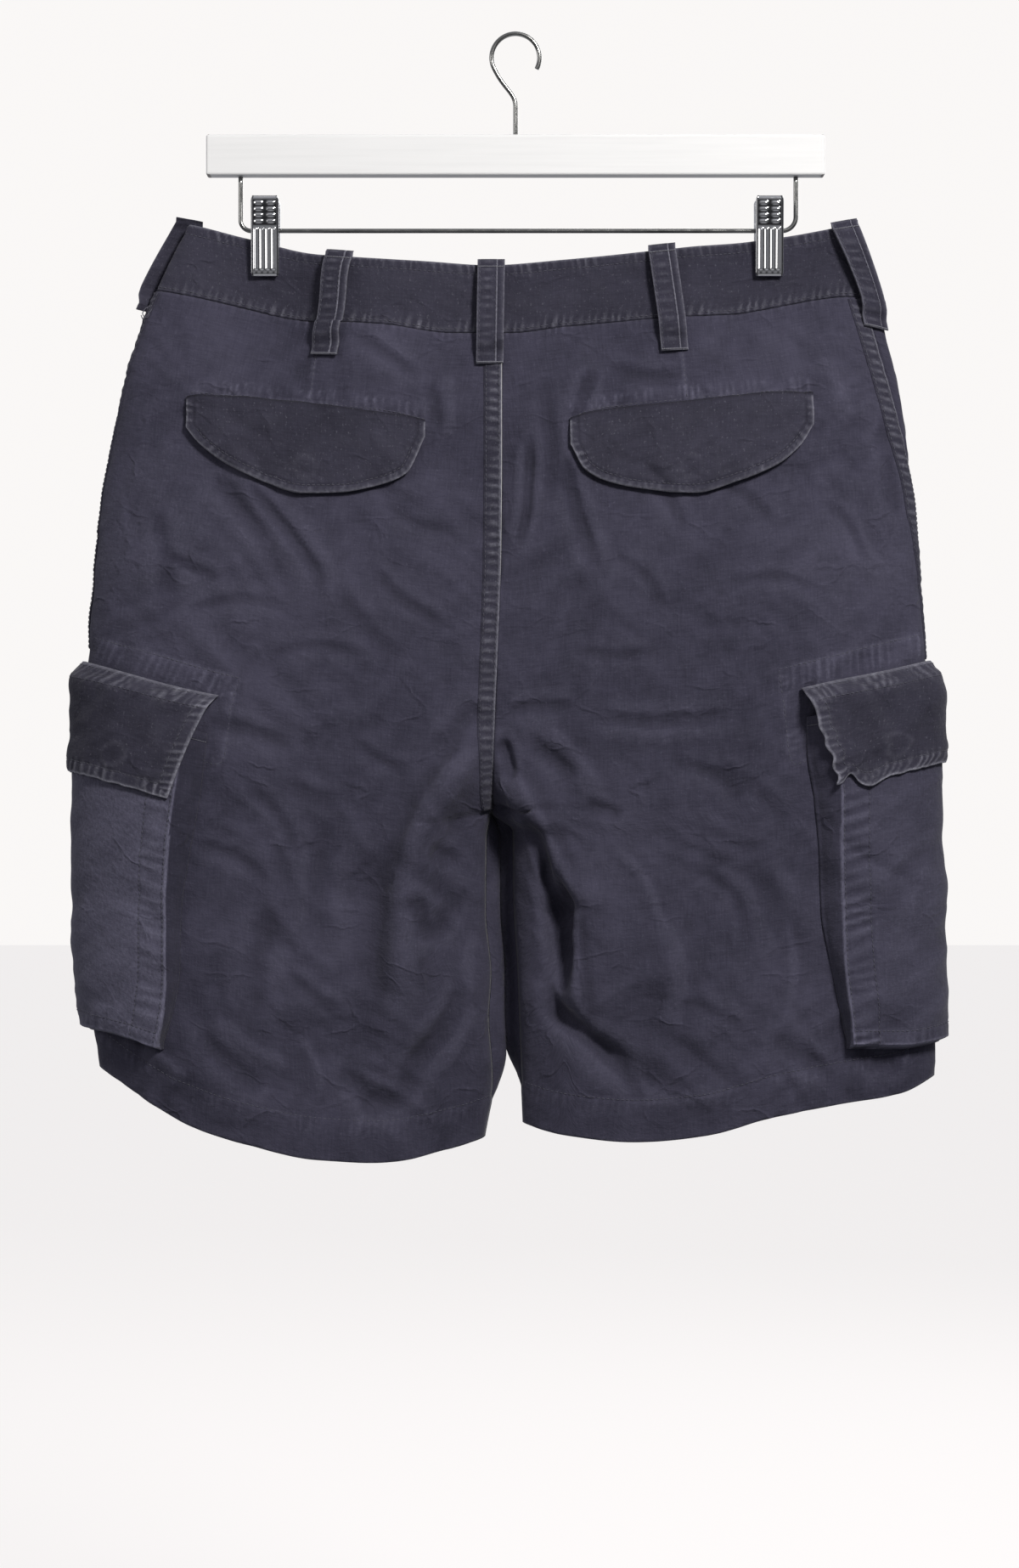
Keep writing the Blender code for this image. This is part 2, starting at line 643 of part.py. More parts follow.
def cargo_pocket(pocket):
    """Face and gusset: a shell over the leg, open at its mouth."""
    outside, inside = [], []
    shares = share_rows(POCKET_ROWS, 0.0, 1.0 - POCKET_FOOT) + [1.0 - 0.35 * POCKET_FOOT, 1.0]
    for share in shares:
        first = blend(pocket.top_back, pocket.foot_back, share)
        last = blend(pocket.top_front, pocket.foot_front, share)
        foot = smoothstep((1.0 - share) / POCKET_FOOT * 0.9)
        spots = [(first + step.inset, step.off) for step in GUSSET]
        spots += [(turn, 1.0) for turn in FACE_TURNS]
        spots += [(last - step.inset, step.off) for step in reversed(GUSSET)]
        outer_row, inner_row = [], []
        for turn, off in spots:
            near_fold = sin(pi * (turn - first) / (last - first))
            down = blend(pocket.top, blend(pocket.edge_foot, pocket.fold_foot, near_fold), share)
            base, normal = loop(pocket.side, turn, down), outward(pocket.side, turn, down)
            height = POCKET_GAP + pocket_rise(turn) * off * foot
            inner_row.append(base + normal * height)
            outer_row.append(base + normal * (height + WALL))
        outside.append(outer_row)
        inside.append(inner_row)
    wall("cargo_pocket_" + pocket.side, outside, inside)


# A cargo flap's edges: where it is sewn on and where it ends, at its back edge and its front edge
CargoFlap = namedtuple("CargoFlap", "side back_turn front_turn taper seam_edge seam_fold free_edge free_fold")
CARGO_FLAPS = (
    CargoFlap(LEFT, 0.595, 1.44, 0.088, 0.466, 0.479, 0.607, 0.620),
    CargoFlap(RIGHT, 0.615, 1.43, 0.131, 0.478, 0.464, 0.606, 0.596),
)
# The flap's profile down: how far it stands off, as a share of the pocket's height
FlapStep = namedtuple("FlapStep", "down off")
CARGO_FLAP_PROFILE = (
    FlapStep(0.00, 0.0), FlapStep(0.07, 0.5), FlapStep(0.14, 1.0), FlapStep(0.42, 1.0),
    FlapStep(0.72, 1.0), FlapStep(1.00, 1.04),
)
FLAP_OVER_POCKET = 0.8 * MM


def cargo_flap(flap):
    """A flap over the pocket's mouth, sewn on above it."""
    outside, inside = [], []
    for step in CARGO_FLAP_PROFILE:
        outer_row, inner_row = [], []
        taper = flap.taper * step.down
        first, last = flap.back_turn + taper, flap.front_turn - taper
        turns = [first, 0.5 * (first + FACE_TURNS[0]), *FACE_TURNS, 0.5 * (FACE_TURNS[-1] + last), last]
        for turn in turns:
            near_fold = sin(pi * (turn - first) / (last - first))
            down = blend(blend(flap.seam_edge, flap.seam_fold, near_fold),
                         blend(flap.free_edge, flap.free_fold, near_fold), step.down)
            base, normal = loop(flap.side, turn, down), outward(flap.side, turn, down)
            height = POCKET_GAP + (pocket_rise(turn) + WALL + FLAP_OVER_POCKET) * step.off
            inner_row.append(base + normal * height)
            outer_row.append(base + normal * (height + FLAP_WALL))
        outside.append(outer_row)
        inside.append(inner_row)
    wall("cargo_flap_" + flap.side, outside, inside, NAVY_TRIM)


FLY_WIDTH = 38.0 * MM
FLY_FOOT = -352.0 * MM
FLY_TOP = -196.5 * MM
FLY_CURVE = 42.0 * MM       # the height over which the fly's free edge curves in to its foot


def fly():
    """The placket over the front opening: straight, then curved in to the centre seam."""
    outside, inside = [], []
    for z in share_rows(9, FLY_TOP, FLY_FOOT):
        part = max(0.0, (FLY_FOOT + FLY_CURVE - z) / FLY_CURVE)
        width = FLY_WIDTH * max(0.30, sqrt(max(0.0, 1.0 - part * part)))
        outer_row, inner_row = [], []
        for column in range(4):
            x = edges(LEFT, on_panel(FRONT, -0.02, z)[2])[0] - 0.4 * MM - width * column / 3
            side, turn, down = on_panel(FRONT, x, z)
            base, normal = loop(side, turn, down), outward(side, turn, down)
            inner_row.append(base + normal * LAY_GAP)
            outer_row.append(base + normal * (LAY_GAP + FLAP_WALL))
        outside.append(outer_row)
        inside.append(inner_row)
    wall("fly", outside, inside, NAVY_TRIM)


BUTTON_RADIUS = 8.5 * MM
BUTTON_DEPTH = 3.0 * MM


def waist_button():
    """The button that closes the waistband, in the middle of the overlap."""
    middle = band_point(RIGHT, 2.0 - 0.10, 0.5)
    face_y = middle.y + OVERLAP_LIFT + SEAM_GAP
    bpy.ops.mesh.primitive_cylinder_add(vertices=24, radius=BUTTON_RADIUS, depth=BUTTON_DEPTH)
    button = bpy.context.object
    button.name = "waist_button"
    button.rotation_euler = (radians(90), 0.0, 0.0)
    button.location = (middle.x, face_y + 0.5 * BUTTON_DEPTH + 0.3 * MM, middle.z)
    edge = button.modifiers.new("edge", "BEVEL")
    edge.width = 0.8 * MM
    edge.segments = 2
    edge.limit_method = "ANGLE"
    paint(button, BUTTON_HORN, 0.35)


def paint(thing, colour, roughness, metallic=0.0):
    """Give a primitive its own material and smooth shading."""
    material = bpy.data.materials.new(thing.name)
    material.use_nodes = True
    shader = material.node_tree.nodes["Principled BSDF"]
    shader.inputs["Base Color"].default_value = (*colour, 1.0)
    shader.inputs["Roughness"].default_value = roughness
    shader.inputs["Metallic"].default_value = metallic
    thing.data.materials.append(material)
    thing.data.shade_smooth()
    thing.data.set_sharp_from_angle(angle=radians(35))


# ---------------------------------------------------------------- the hanger

def hanger_bar():
    """The flat painted bar."""
    bpy.ops.mesh.primitive_cube_add(size=1.0)
    bar = bpy.context.object
    bar.name = "hanger_bar"
    bar.location = (0.0, 0.0, 0.5 * (BAR_TOP + BAR_BOTTOM))
    bar.scale = (BAR_LENGTH, BAR_DEPTH, BAR_TOP - BAR_BOTTOM)
    bpy.ops.object.transform_apply(location=False, rotation=False, scale=True)
    edge = bar.modifiers.new("edge", "BEVEL")
    edge.width = BAR_EDGE
    edge.segments = 3
    paint(bar, WHITE_PAINT, 0.35)


def hanger_hook():
    """The hook: a crown, a leaning neck and a straight stem into the bar."""
    centre = Vector((0.0, 0.0, WIRE_RADIUS - HOOK_RADIUS))
    points = []
    turns = 26
    for i in range(turns + 1):
        angle = radians(blend(HOOK_TIP_ANGLE, HOOK_NECK_ANGLE, i / turns))
        points.append(centre + HOOK_RADIUS * Vector((cos(angle), 0.0, sin(angle))))
    neck = points[-1].copy()
    angle = radians(HOOK_NECK_ANGLE)
    leaving = Vector((-sin(angle), 0.0, cos(angle)))
    stem = Vector((0.0, 0.0, HOOK_STEM_TOP))
    reach = 0.55 * (stem - neck).length
    bends = 8
    first, second = neck + leaving * reach, stem + Vector((0.0, 0.0, 0.6 * reach))
    for i in range(1, bends + 1):
        part = i / bends
        rest = 1.0 - part
        points.append(rest ** 3 * neck + 3 * rest ** 2 * part * first
                      + 3 * rest * part ** 2 * second + part ** 3 * stem)
    points.append(Vector((0.0, 0.0, BAR_TOP + SEAM_GAP)))
    wire("hanger_hook", points)


def hanger_wire():
    """The lower wire: down from the bar, along under it and up again."""
    top = BAR_BOTTOM - SEAM_GAP
    points = [Vector((RUN_LEFT, 0.0, top))]
    corners = (
        (Vector((RUN_LEFT + RUN_LEFT_BEND, 0.0, RUN_Z + RUN_LEFT_BEND)), RUN_LEFT_BEND, 180, 270),
        (Vector((RUN_RIGHT - RUN_RIGHT_BEND, 0.0, RUN_Z + RUN_RIGHT_BEND)), RUN_RIGHT_BEND, 270, 360),
    )
    for centre, radius, start, end in corners:
        for i in range(7):
            angle = radians(blend(start, end, i / 6))
            points.append(centre + radius * Vector((cos(angle), 0.0, sin(angle))))
    points.append(Vector((RUN_RIGHT, 0.0, top)))
    wire("hanger_wire", points)


def jaw_block(name, x, face, inset, extra):
    """A wedge with the jaw's outline, drawn in by inset and standing out by extra on its open side."""
    half = 0.5 * CLIP_WIDTH - inset
    cloth = PINCHED + SEAM_GAP
    open_side = cloth - extra
    top, bottom = CLIP_TOP - inset, CLIP_BOTTOM + inset
    tab = cloth + CLIP_TAB_DEPTH - inset
    lip = cloth + CLIP_LIP_DEPTH - inset
    shape = bmesh.new()
    corners = [shape.verts.new((x + side * half, face * y, z))
               for side in (-1, 1)
               for y, z in ((open_side, top), (tab, top), (lip, bottom), (open_side, bottom))]
    for a, b, c, d in ((0, 1, 2, 3), (7, 6, 5, 4), (0, 4, 5, 1), (1, 5, 6, 2), (2, 6, 7, 3), (3, 7, 4, 0)):
        shape.faces.new((corners[a], corners[b], corners[c], corners[d]))
    bmesh.ops.recalc_face_normals(shape, faces=shape.faces)
    mesh = bpy.data.meshes.new(name)
    shape.to_mesh(mesh)
    shape.free()
    return mesh


def clip_jaw(name, x, face):
    """A stamped jaw: a shallow tray whose rim grips the cloth."""
    jaw = finish_object(name, jaw_block(name, x, face, 0.0, 0.0), CHROME, 0.12, 1.0)
    edge = jaw.modifiers.new("edge", "BEVEL")
    edge.width = 0.7 * MM
    edge.segments = 2
    inside = jaw_block(name + "_hollow", x, face, CLIP_SHEET, 2.0 * MM)
    hollow = finish_object(name + "_hollow", inside, CHROME, 0.5)
    hollow.hide_render = True
    hollow.display_type = "WIRE"
    cut = jaw.modifiers.new("hollow", "BOOLEAN")
    cut.operation = "DIFFERENCE"
    cut.object = hollow
    cut.solver = "EXACT"


def clip_spring(name, x):
    """The spring roll round the wire, between the two jaws."""
    inner, outer = WIRE_RADIUS + SEAM_GAP, PINCHED
    length = CLIP_WIDTH - 2.0 * CLIP_SHEET
    shape = bmesh.new()
    profile = [shape.verts.new((across, 0.0, radius)) for across, radius in
               ((-0.5 * length, inner), (0.5 * length, inner), (0.5 * length, outer), (-0.5 * length, outer))]
    edges = [shape.edges.new((profile[i], profile[(i + 1) % 4])) for i in range(4)]
    bmesh.ops.spin(shape, geom=profile + edges, axis=(1, 0, 0), cent=(0, 0, 0), steps=16, angle=2.0 * pi,
                   use_merge=True, use_duplicate=False)
    bmesh.ops.recalc_face_normals(shape, faces=shape.faces)
    mesh = bpy.data.meshes.new(name)
    shape.to_mesh(mesh)
    shape.free()
    mesh.shade_smooth()
    mesh.set_sharp_from_angle(angle=radians(35))
    spring = finish_object(name, mesh, CHROME, 0.25, 1.0)
    spring.location = (x, 0.0, RUN_Z)


# ---------------------------------------------------------------- the whole part

def build():
    """Clear the scene and make every piece."""
    for thing in list(bpy.data.objects):
        bpy.data.objects.remove(thing, do_unlink=True)
    for side in (LEFT, RIGHT):
        panel("back_" + side, side, BACK)
        panel("front_" + side, side, FRONT)
    waistband()
    for row in BELT_LOOPS:
        belt_loop(row)
    back_flap("back_flap_left", LEFT_FLAP)
    back_flap("back_flap_right", RIGHT_FLAP)
    for pocket in CARGO_POCKETS:
        cargo_pocket(pocket)
    for flap in CARGO_FLAPS:
        cargo_flap(flap)
    fly()
    waist_button()
    hanger_bar()
    hanger_hook()
    hanger_wire()
    for side, x in zip((LEFT, RIGHT), CLIP_X):
        clip_jaw("clip_jaw_back_" + side, x, BACK)
        clip_jaw("clip_jaw_front_" + side, x, FRONT)
        clip_spring("clip_spring_" + side, x)


build()
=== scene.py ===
"""Looks of the cargo shorts on their clip hanger.

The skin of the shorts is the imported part's own: each leg side runs from the waist seam (0) to the
hem (1) down its length, and from the centre seam or inner leg (turn 0) over the back face to the
outer fold (1) and over the front face back to the centre (2).  Every cloth piece is a thin shell on
that skin, with the drape, the seams and the puckers added as heights.  Tables are in millimetres.
"""

from math import cos, pi, radians, sin

import bpy
import numpy as np
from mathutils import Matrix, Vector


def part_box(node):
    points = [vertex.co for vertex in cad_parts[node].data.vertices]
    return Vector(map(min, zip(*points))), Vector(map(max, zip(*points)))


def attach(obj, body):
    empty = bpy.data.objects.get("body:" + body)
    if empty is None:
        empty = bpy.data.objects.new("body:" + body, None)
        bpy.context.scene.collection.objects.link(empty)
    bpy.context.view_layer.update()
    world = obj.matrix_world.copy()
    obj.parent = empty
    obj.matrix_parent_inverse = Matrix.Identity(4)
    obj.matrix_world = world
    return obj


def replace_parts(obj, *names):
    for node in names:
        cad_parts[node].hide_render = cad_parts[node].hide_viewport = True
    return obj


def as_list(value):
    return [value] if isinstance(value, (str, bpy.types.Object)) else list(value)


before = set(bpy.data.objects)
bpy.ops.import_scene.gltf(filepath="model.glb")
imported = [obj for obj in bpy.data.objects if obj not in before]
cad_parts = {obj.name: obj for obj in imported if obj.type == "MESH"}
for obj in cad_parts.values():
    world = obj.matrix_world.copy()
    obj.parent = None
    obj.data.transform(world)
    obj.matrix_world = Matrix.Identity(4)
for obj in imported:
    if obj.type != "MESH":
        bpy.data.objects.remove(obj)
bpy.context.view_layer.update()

MM = 0.001
LEFT, RIGHT = "left", "right"
BACK, FRONT = -1, 1


def table(columns, *rows):
    """A table as one array for each named column."""
    return dict(zip(columns.split(), np.array(rows, float).T))


# ---------------------------------------------------------------- the part's own measures

WALL, HEM_WALL, BAND_WALL, LOOP_WALL, FLAP_WALL = 1.2 * MM, 2.4 * MM, 2.0 * MM, 1.6 * MM, 1.8 * MM
SEAM_GAP, LAY_GAP = 0.3 * MM, 0.9 * MM
BAND_HEIGHT, BODY_LENGTH, PANEL_WIDTH = 44.0 * MM, 515.0 * MM, 265.0 * MM
HEM_DEPTH = 27.0 * MM
CROTCH, SEAT_TURN, HEM_START = 0.595, 0.38, 0.948
FOLD_POWER, END_CROWDING, TURN_STEP = 6.0, 0.8, 0.004
# Down the body: X of the outer folds and of the centre, and half the depth
SECTIONS = table(
    "down outer_left centre outer_right half_depth",
    (0.000, -233.0, -9.0, 236.0, 14.0), (0.060, -245.0, -9.0, 242.5, 18.0),
    (0.150, -256.0, -9.0, 251.5, 23.0), (0.280, -268.0, -9.5, 258.5, 28.0),
    (0.420, -275.0, -12.0, 264.5, 31.0), (0.500, -278.5, -14.0, 267.0, 32.0),
    (0.595, -279.0, -16.0, 268.0, 33.0), (0.720, -279.0, -16.0, 269.5, 34.5),
    (0.850, -278.5, -16.0, 271.0, 36.0), (0.930, -275.0, -16.0, 272.0, 36.0),
    (1.000, -269.0, -16.0, 271.0, 35.0),
)
INNER_LEGS = table(
    "down left right",
    (0.595, -16.0, -16.0), (0.606, -16.5, -15.8), (0.630, -18.5, -2.0), (0.720, -19.0, -1.5),
    (0.800, -15.5, 1.0), (0.850, -17.0, 2.0), (0.930, -14.5, 3.5), (1.000, -20.0, 5.0),
)
# Where the front thighs roll in to meet between the legs; each rolls at its own depth, a little too far
THIGH_ROLL, THIGH_OVERLAP = {LEFT: 0.016, RIGHT: 0.030}, 1.035
THIGHS_MEET = table(
    "z x",
    (-710, -7.5), (-672, -5.7), (-630, -7.3), (-605, -7.5), (-564, -10.3), (-519, -10.5), (-509, -13.0),
    (-504, -15.9), (-497, -15.9),
)
WAIST_SEAM = table(
    "x seam",
    (-233, -165), (-188, -174), (-130, -186), (-88, -188), (-41, -194), (-5, -194), (32, -190),
    (88, -185), (139, -181), (193, -172), (215, -170), (236, -173),
)
BAND_TOP = table(
    "x top",
    (-212, -122), (-171, -132), (-123, -143), (-57, -147.5), (-17, -150), (31, -146.5), (95, -140),
    (155, -133), (201, -126), (222, -122),
)
BAND_TOP_DEPTH = 12.0 * MM
HEM = table(
    "across left_back right_back left_front right_front",
    (0.00, -712, -703, -707, -699), (0.09, -718, -709, -712, -704), (0.27, -726, -713, -719, -709),
    (0.43, -724, -709, -718, -706), (0.60, -715, -697, -711, -696), (0.75, -703, -689, -701, -688),
    (0.90, -682, -683, -687, -682), (1.00, -666, -672, -666, -672),
)
SIDE_SEAM = table(
    "down left right",
    (0.00, -10, 14), (0.13, -10, 11), (0.25, -10, 2), (0.45, -10, -7), (1.00, -9, -7),
)
# Large folds: a ridge, or a trough where the height is negative, along the line between two places
FOLDS = table(
    "face x0 z0 x1 z1 width height",
    (BACK, -29, -459, -66, -522, 15, 5.0), (BACK, -66, -522, -72, -600, 16, 6.0),
    (BACK, -72, -600, -82, -660, 18, 4.5), (BACK, -100, -560, -112, -650, 20, -3.5),
    (BACK, 8, -500, 44, -560, 16, 5.0), (BACK, 44, -560, 52, -640, 16, 5.5),
    (BACK, 23, -545, 27, -628, 11, -6.0), (BACK, 22, -616, 78, -670, 14, -4.0),
    (BACK, 80, -592, 120, -640, 22, 3.5), (BACK, -168, -293, -116, -365, 18, 3.5),
    (BACK, 42, -222, 34, -276, 14, 3.0), (BACK, 34, -276, 54, -358, 16, 3.5),
    (BACK, -105, -196, -58, -228, 14, 2.5), (BACK, 130, -560, 190, -600, 26, -3.0),
    (BACK, -225, -640, -165, -690, 16, 3.0), (FRONT, -60, -455, -95, -560, 18, 5.0),
    (FRONT, -95, -560, -90, -660, 18, 4.5), (FRONT, -130, -590, -135, -670, 20, -3.5),
    (FRONT, 40, -470, 74, -575, 18, 5.0), (FRONT, 74, -575, 66, -655, 18, 4.0),
    (FRONT, 112, -575, 120, -660, 20, -3.5), (FRONT, -70, -215, -120, -300, 18, 3.5),
    (FRONT, 75, -210, 125, -300, 18, 3.5), (FRONT, 30, -360, 90, -420, 16, -3.0),
    (FRONT, -45, -370, -110, -425, 16, -3.0),
)
FOLD_EDGE_FADE = 0.35
CLIP_X = (-161.8 * MM, 164.0 * MM)
PINCHED, PINCH_FLAT, PINCH_FADE = 2.4 * MM, 13.0 * MM, 42.0 * MM
PINCH_HOLD, PINCH_LOOSE = 24.0 * MM, 115.0 * MM
OVERLAP_LIFT, OVERLAP_RISE, OVERLAP_RUN = 2.4 * MM, -32.0 * MM, 18.0 * MM

# ---------------------------------------------------------------- the drape, seen and guessed

# Sharper creases of the back: a path of places, the width of the flank on the left and on the right of
# that path, and the height (a trough where it is negative)
CREASES = (
    # left thigh: the fold that hangs from the crotch, and the facets beside it
    (((-20, -458), (-44, -482), (-62, -512), (-68, -545)), 16, 7, 5.0),
    (((-66, -515), (-71, -560), (-72, -605), (-78, -655)), 16, 11, 4.5),
    (((-84, -520), (-90, -575), (-94, -630)), 10, 16, -2.5),
    (((-66, -552), (-60, -570), (-54, -588)), 5, 9, -1.8),
    (((-54, -588), (-42, -568), (-30, -545)), 8, 5, -1.6),
    (((-58, -524), (-46, -529), (-34, -531)), 4, 5, -1.2),
    (((-76, -676), (-58, -654), (-38, -625), (-30, -600)), 6, 10, -3.0),
    (((-52, -672), (-36, -648), (-24, -622)), 7, 5, 1.8),
    (((-26, -570), (-30, -610), (-24, -650)), 5, 6, 1.4),
    # right leg: the overhanging fold and the deep hollow beside the inner leg
    (((-4, -470), (12, -503), (26, -530), (35, -566)), 5, 16, 5.0),
    (((35, -560), (37, -600), (44, -640)), 4, 18, 5.0),
    (((3, -495), (18, -535), (26, -580), (31, -622)), 9, 5, -9.0),
    (((26, -540), (30, -585), (34, -630)), 5, 4, -5.0),
    (((17, -610), (32, -632), (52, -650), (80, -667)), 5, 8, -5.0),
    (((16, -512), (25, -535), (24, -552), (32, -572)), 3, 5, 3.0),
    (((52, -652), (72, -672), (84, -690)), 4, 6, -1.6),
    (((-9, -452), (-4, -468), (-1, -484)), 3, 5, -3.5),
    # under the crotch
    (((-24, -430), (-38, -452), (-52, -470)), 6, 8, -2.2),
    (((-20, -452), (-36, -476), (-58, -506)), 5, 12, 1.8),
    (((6, -452), (26, -468), (42, -482)), 4, 6, -1.8),
    (((14, -442), (40, -470), (58, -500)), 6, 9, 1.6),
    (((42, -494), (56, -500), (70, -504)), 3, 5, -1.3),
    # pulls across the seat and thighs
    (((-8, -436), (14, -434), (40, -434)), 3, 5, -1.4),
    (((44, -440), (90, -444), (146, -439)), 4, 5, -1.4),
    (((50, -449), (92, -453), (128, -450)), 4, 6, 0.8),
    (((-198, -443), (-168, -450), (-138, -462)), 4, 6, -1.3),
    (((-172, -290), (-150, -318), (-132, -340), (-117, -364)), 4, 6, -2.2),
    (((-196, -282), (-172, -312), (-150, -332)), 5, 7, -1.4),
    (((-120, -352), (-92, -388), (-70, -408)), 5, 7, -0.9),
    (((10, -256), (9, -285), (7, -312), (1, -336)), 3, 4, -2.4),
    (((3, -262), (2, -300), (-3, -340)), 4, 4, 1.3),
    (((18, -215), (22, -262), (24, -312)), 6, 6, -1.2),
    (((31, -272), (39, -306), (54, -350)), 4, 7, -2.4),
    (((36, -262), (44, -236), (52, -216)), 5, 4, -1.8),
    (((-107, -190), (-88, -204), (-60, -224)), 3, 4, -1.4),
    (((-58, -224), (-52, -240), (-50, -262)), 4, 4, -1.2),
    (((-44, -214), (-42, -240), (-44, -268)), 5, 5, 1.0),
    (((60, -214), (84, -222), (110, -222)), 4, 6, -0.9),
    (((196, -205), (206, -228), (212, -258)), 8, 8, 1.4),
    (((-232, -300), (-224, -340), (-222, -380)), 8, 8, -1.4),
    (((234, -240), (239, -268), (247, -318)), 4, 7, -1.8),
    (((-150, -560), (-166, -600), (-160, -640)), 9, 9, -1.6),
    (((-118, -500), (-126, -550), (-120, -600)), 10, 8, -1.4),
    (((92, -560), (104, -604), (96, -648)), 8, 10, 1.6),
    (((150, -520), (166, -566), (190, -600)), 9, 9, -1.5),
    (((120, -470), (150, -484), (176, -508)), 5, 6, -0.9),
    (((-150, -480), (-128, -492), (-100, -494)), 5, 6, -0.8),
    # fine creases
    (((-176, -286), (-158, -306), (-138, -331), (-118, -369)), 2.5, 3.5, -1.3),
    (((-231, -332), (-206, -346), (-186, -352)), 3, 3, -0.8),
    (((-214, -372), (-176, -366), (-140, -372)), 3, 3, -0.7),
    (((-160, -402), (-128, -396), (-92, -402)), 3, 3, -0.8),
    (((-96, -340), (-72, -366), (-40, -384)), 3, 4, -0.9),
    (((-88, -300), (-62, -318), (-36, -322)), 3, 3, -0.7),
    (((-176, -478), (-150, -506), (-136, -536)), 3, 4, -0.9),
    (((-214, -520), (-182, -528), (-156, -546)), 3, 4, -0.8),
    (((-110, -452), (-84, -470), (-62, -476)), 3, 3, -0.8),
    (((-150, -600), (-124, -622), (-104, -626)), 3, 4, -0.9),
    (((-140, -640), (-128, -662), (-124, -684)), 3, 3, 0.8),
    (((72, -268), (96, -296), (112, -330)), 3, 4, -0.9),
    (((120, -290), (148, -300), (170, -322)), 3, 3, -0.7),
    (((60, -336), (84, -352), (96, -376)), 3, 3, -0.8),
    (((130, -356), (168, -352), (198, -362)), 3, 3, -0.7),
    (((30, -396), (62, -402), (98, -398)), 3, 3, -0.7),
    (((92, -466), (128, -478), (152, -500)), 3, 4, -0.9),
    (((60, -520), (84, -548), (96, -584)), 3, 4, 0.9),
    (((110, -530), (140, -556), (152, -590)), 3, 4, -0.8),
    (((96, -620), (128, -630), (152, -646)), 3, 3, -0.8),
    (((170, -560), (178, -600), (172, -636)), 3, 3, 0.8),
    (((196, -300), (214, -318), (226, -346)), 3, 3, -0.7),
    # above the hems
    (((-204, -640), (-184, -660), (-158, -682)), 5, 8, -2.0),
    (((-240, -648), (-222, -662), (-208, -676)), 4, 8, 2.6),
    (((-196, -630), (-170, -652), (-140, -668)), 7, 6, 1.4),
    (((-116, -664), (-96, -684), (-84, -700)), 6, 6, -1.4),
    (((-60, -660), (-76, -684), (-104, -690)), 7, 7, -1.6),
    (((60, -672), (96, -684), (140, -680)), 6, 7, 1.0),
    (((160, -640), (190, -662), (206, -668)), 6, 7, -1.4),
    (((216, -652), (230, -662), (250, -664)), 5, 6, -1.6),
)

# Seams stitched flat on the back: the name, the path, how wide the doubled cloth is beside it (to the
# right of the path where positive), how high the doubled cloth stands, and how strongly it puckers
SEAMS = (
    ("flap_left", ((-209, -233), (-195, -234), (-168, -236.5), (-132, -240), (-101, -242.5),
                   (-78, -245.5), (-58, -250.5)), -8, 0.5, 0.8),
    ("flap_right", ((34, -250), (50, -244), (78, -240), (109, -237), (157, -232.5), (191, -231.8)),
     -8, 0.5, 0.8),
    ("dart_left", ((-128, -206), (-130, -222), (-131.6, -239)), 3, 0.5, 0.3),
    ("dart_right", ((107, -204), (108.6, -220), (110, -236)), 3, 0.5, 0.3),
    ("backing_left", ((-272, -390), (-232, -401), (-202, -410), (-176.6, -416.6)), 14, 0.35, 0.8),
    ("backing_left_side", ((-176.6, -416.6), (-182.6, -439), (-187, -469.4), (-202, -469.6)), 8, 0.35, 0.5),
    ("backing_right", ((168.3, -411), (199, -403.5), (232, -395), (262, -388)), 14, 0.35, 0.8),
    ("backing_right_side", ((168.3, -411), (172.2, -439), (176, -469.4), (186, -469.6)), -8, 0.35, 0.5),
)
PUCKER_PITCH = 5.2 * MM
# Small wrinkles all over: their lean, their length and width in metres, and their height
WRINKLES = (
    (0.80, 0.120, 0.027, 1.5), (-0.62, 0.110, 0.024, -1.2), (0.55, 0.070, 0.013, -0.6),
    (-0.95, 0.070, 0.012, 0.5), (1.35, 0.100, 0.020, -0.7),
)


# ---------------------------------------------------------------- small helpers

def smoothstep(value):
    """An even rise from 0 to 1."""
    value = np.clip(value, 0.0, 1.0)
    return value * value * (3.0 - 2.0 * value)


def blend(first, second, share):
    """The value a share of the way from first to second."""
    return first + (second - first) * share


def along(rows, column, where):
    """A named column's value between a table's rows, as a smooth curve that never overshoots."""
    places = next(iter(rows.values()))
    values = rows[column]
    where = np.clip(where, places[0], places[-1])
    slopes = np.diff(values) / np.diff(places)
    before, after = np.append(slopes[0], slopes), np.append(slopes, slopes[-1])
    level = before * after <= 0.0
    tangent = np.where(level, 0.0, 2.0 * before * after / np.where(level, 1.0, before + after))
    row = np.clip(np.searchsorted(places, where, side="right") - 1, 0, len(places) - 2)
    span = places[row + 1] - places[row]
    part = (where - places[row]) / span
    rest = 1.0 - part
    return ((1.0 + 2.0 * part) * rest ** 2 * values[row] + part ** 2 * (3.0 - 2.0 * part) * values[row + 1]
            + span * part * rest ** 2 * tangent[row] - span * part ** 2 * rest * tangent[row + 1])


def crowd(share):
    """Spread a column's share so that columns crowd at both folds."""
    return share - END_CROWDING * np.sin(2.0 * pi * share) / (2.0 * pi)


DENSE = np.linspace(0.0, 1.0, 4001)


def uncrowd(across):
    """The share that crowd() takes to this share."""
    return np.interp(across, crowd(DENSE), DENSE)


def peak(value, width, middle=0.0):
    """A smooth bump: 1 at its middle, and near 0 from two widths away."""
    return np.exp(-((value - middle) / width) ** 2)


def stack(*parts):
    """Arrays of X, Y and Z as one array of points."""
    return np.stack(np.broadcast_arrays(*parts), axis=-1)


def unit(vectors):
    """The same directions, one long."""
    return vectors / np.maximum(np.linalg.norm(vectors, axis=-1, keepdims=True), 1e-12)


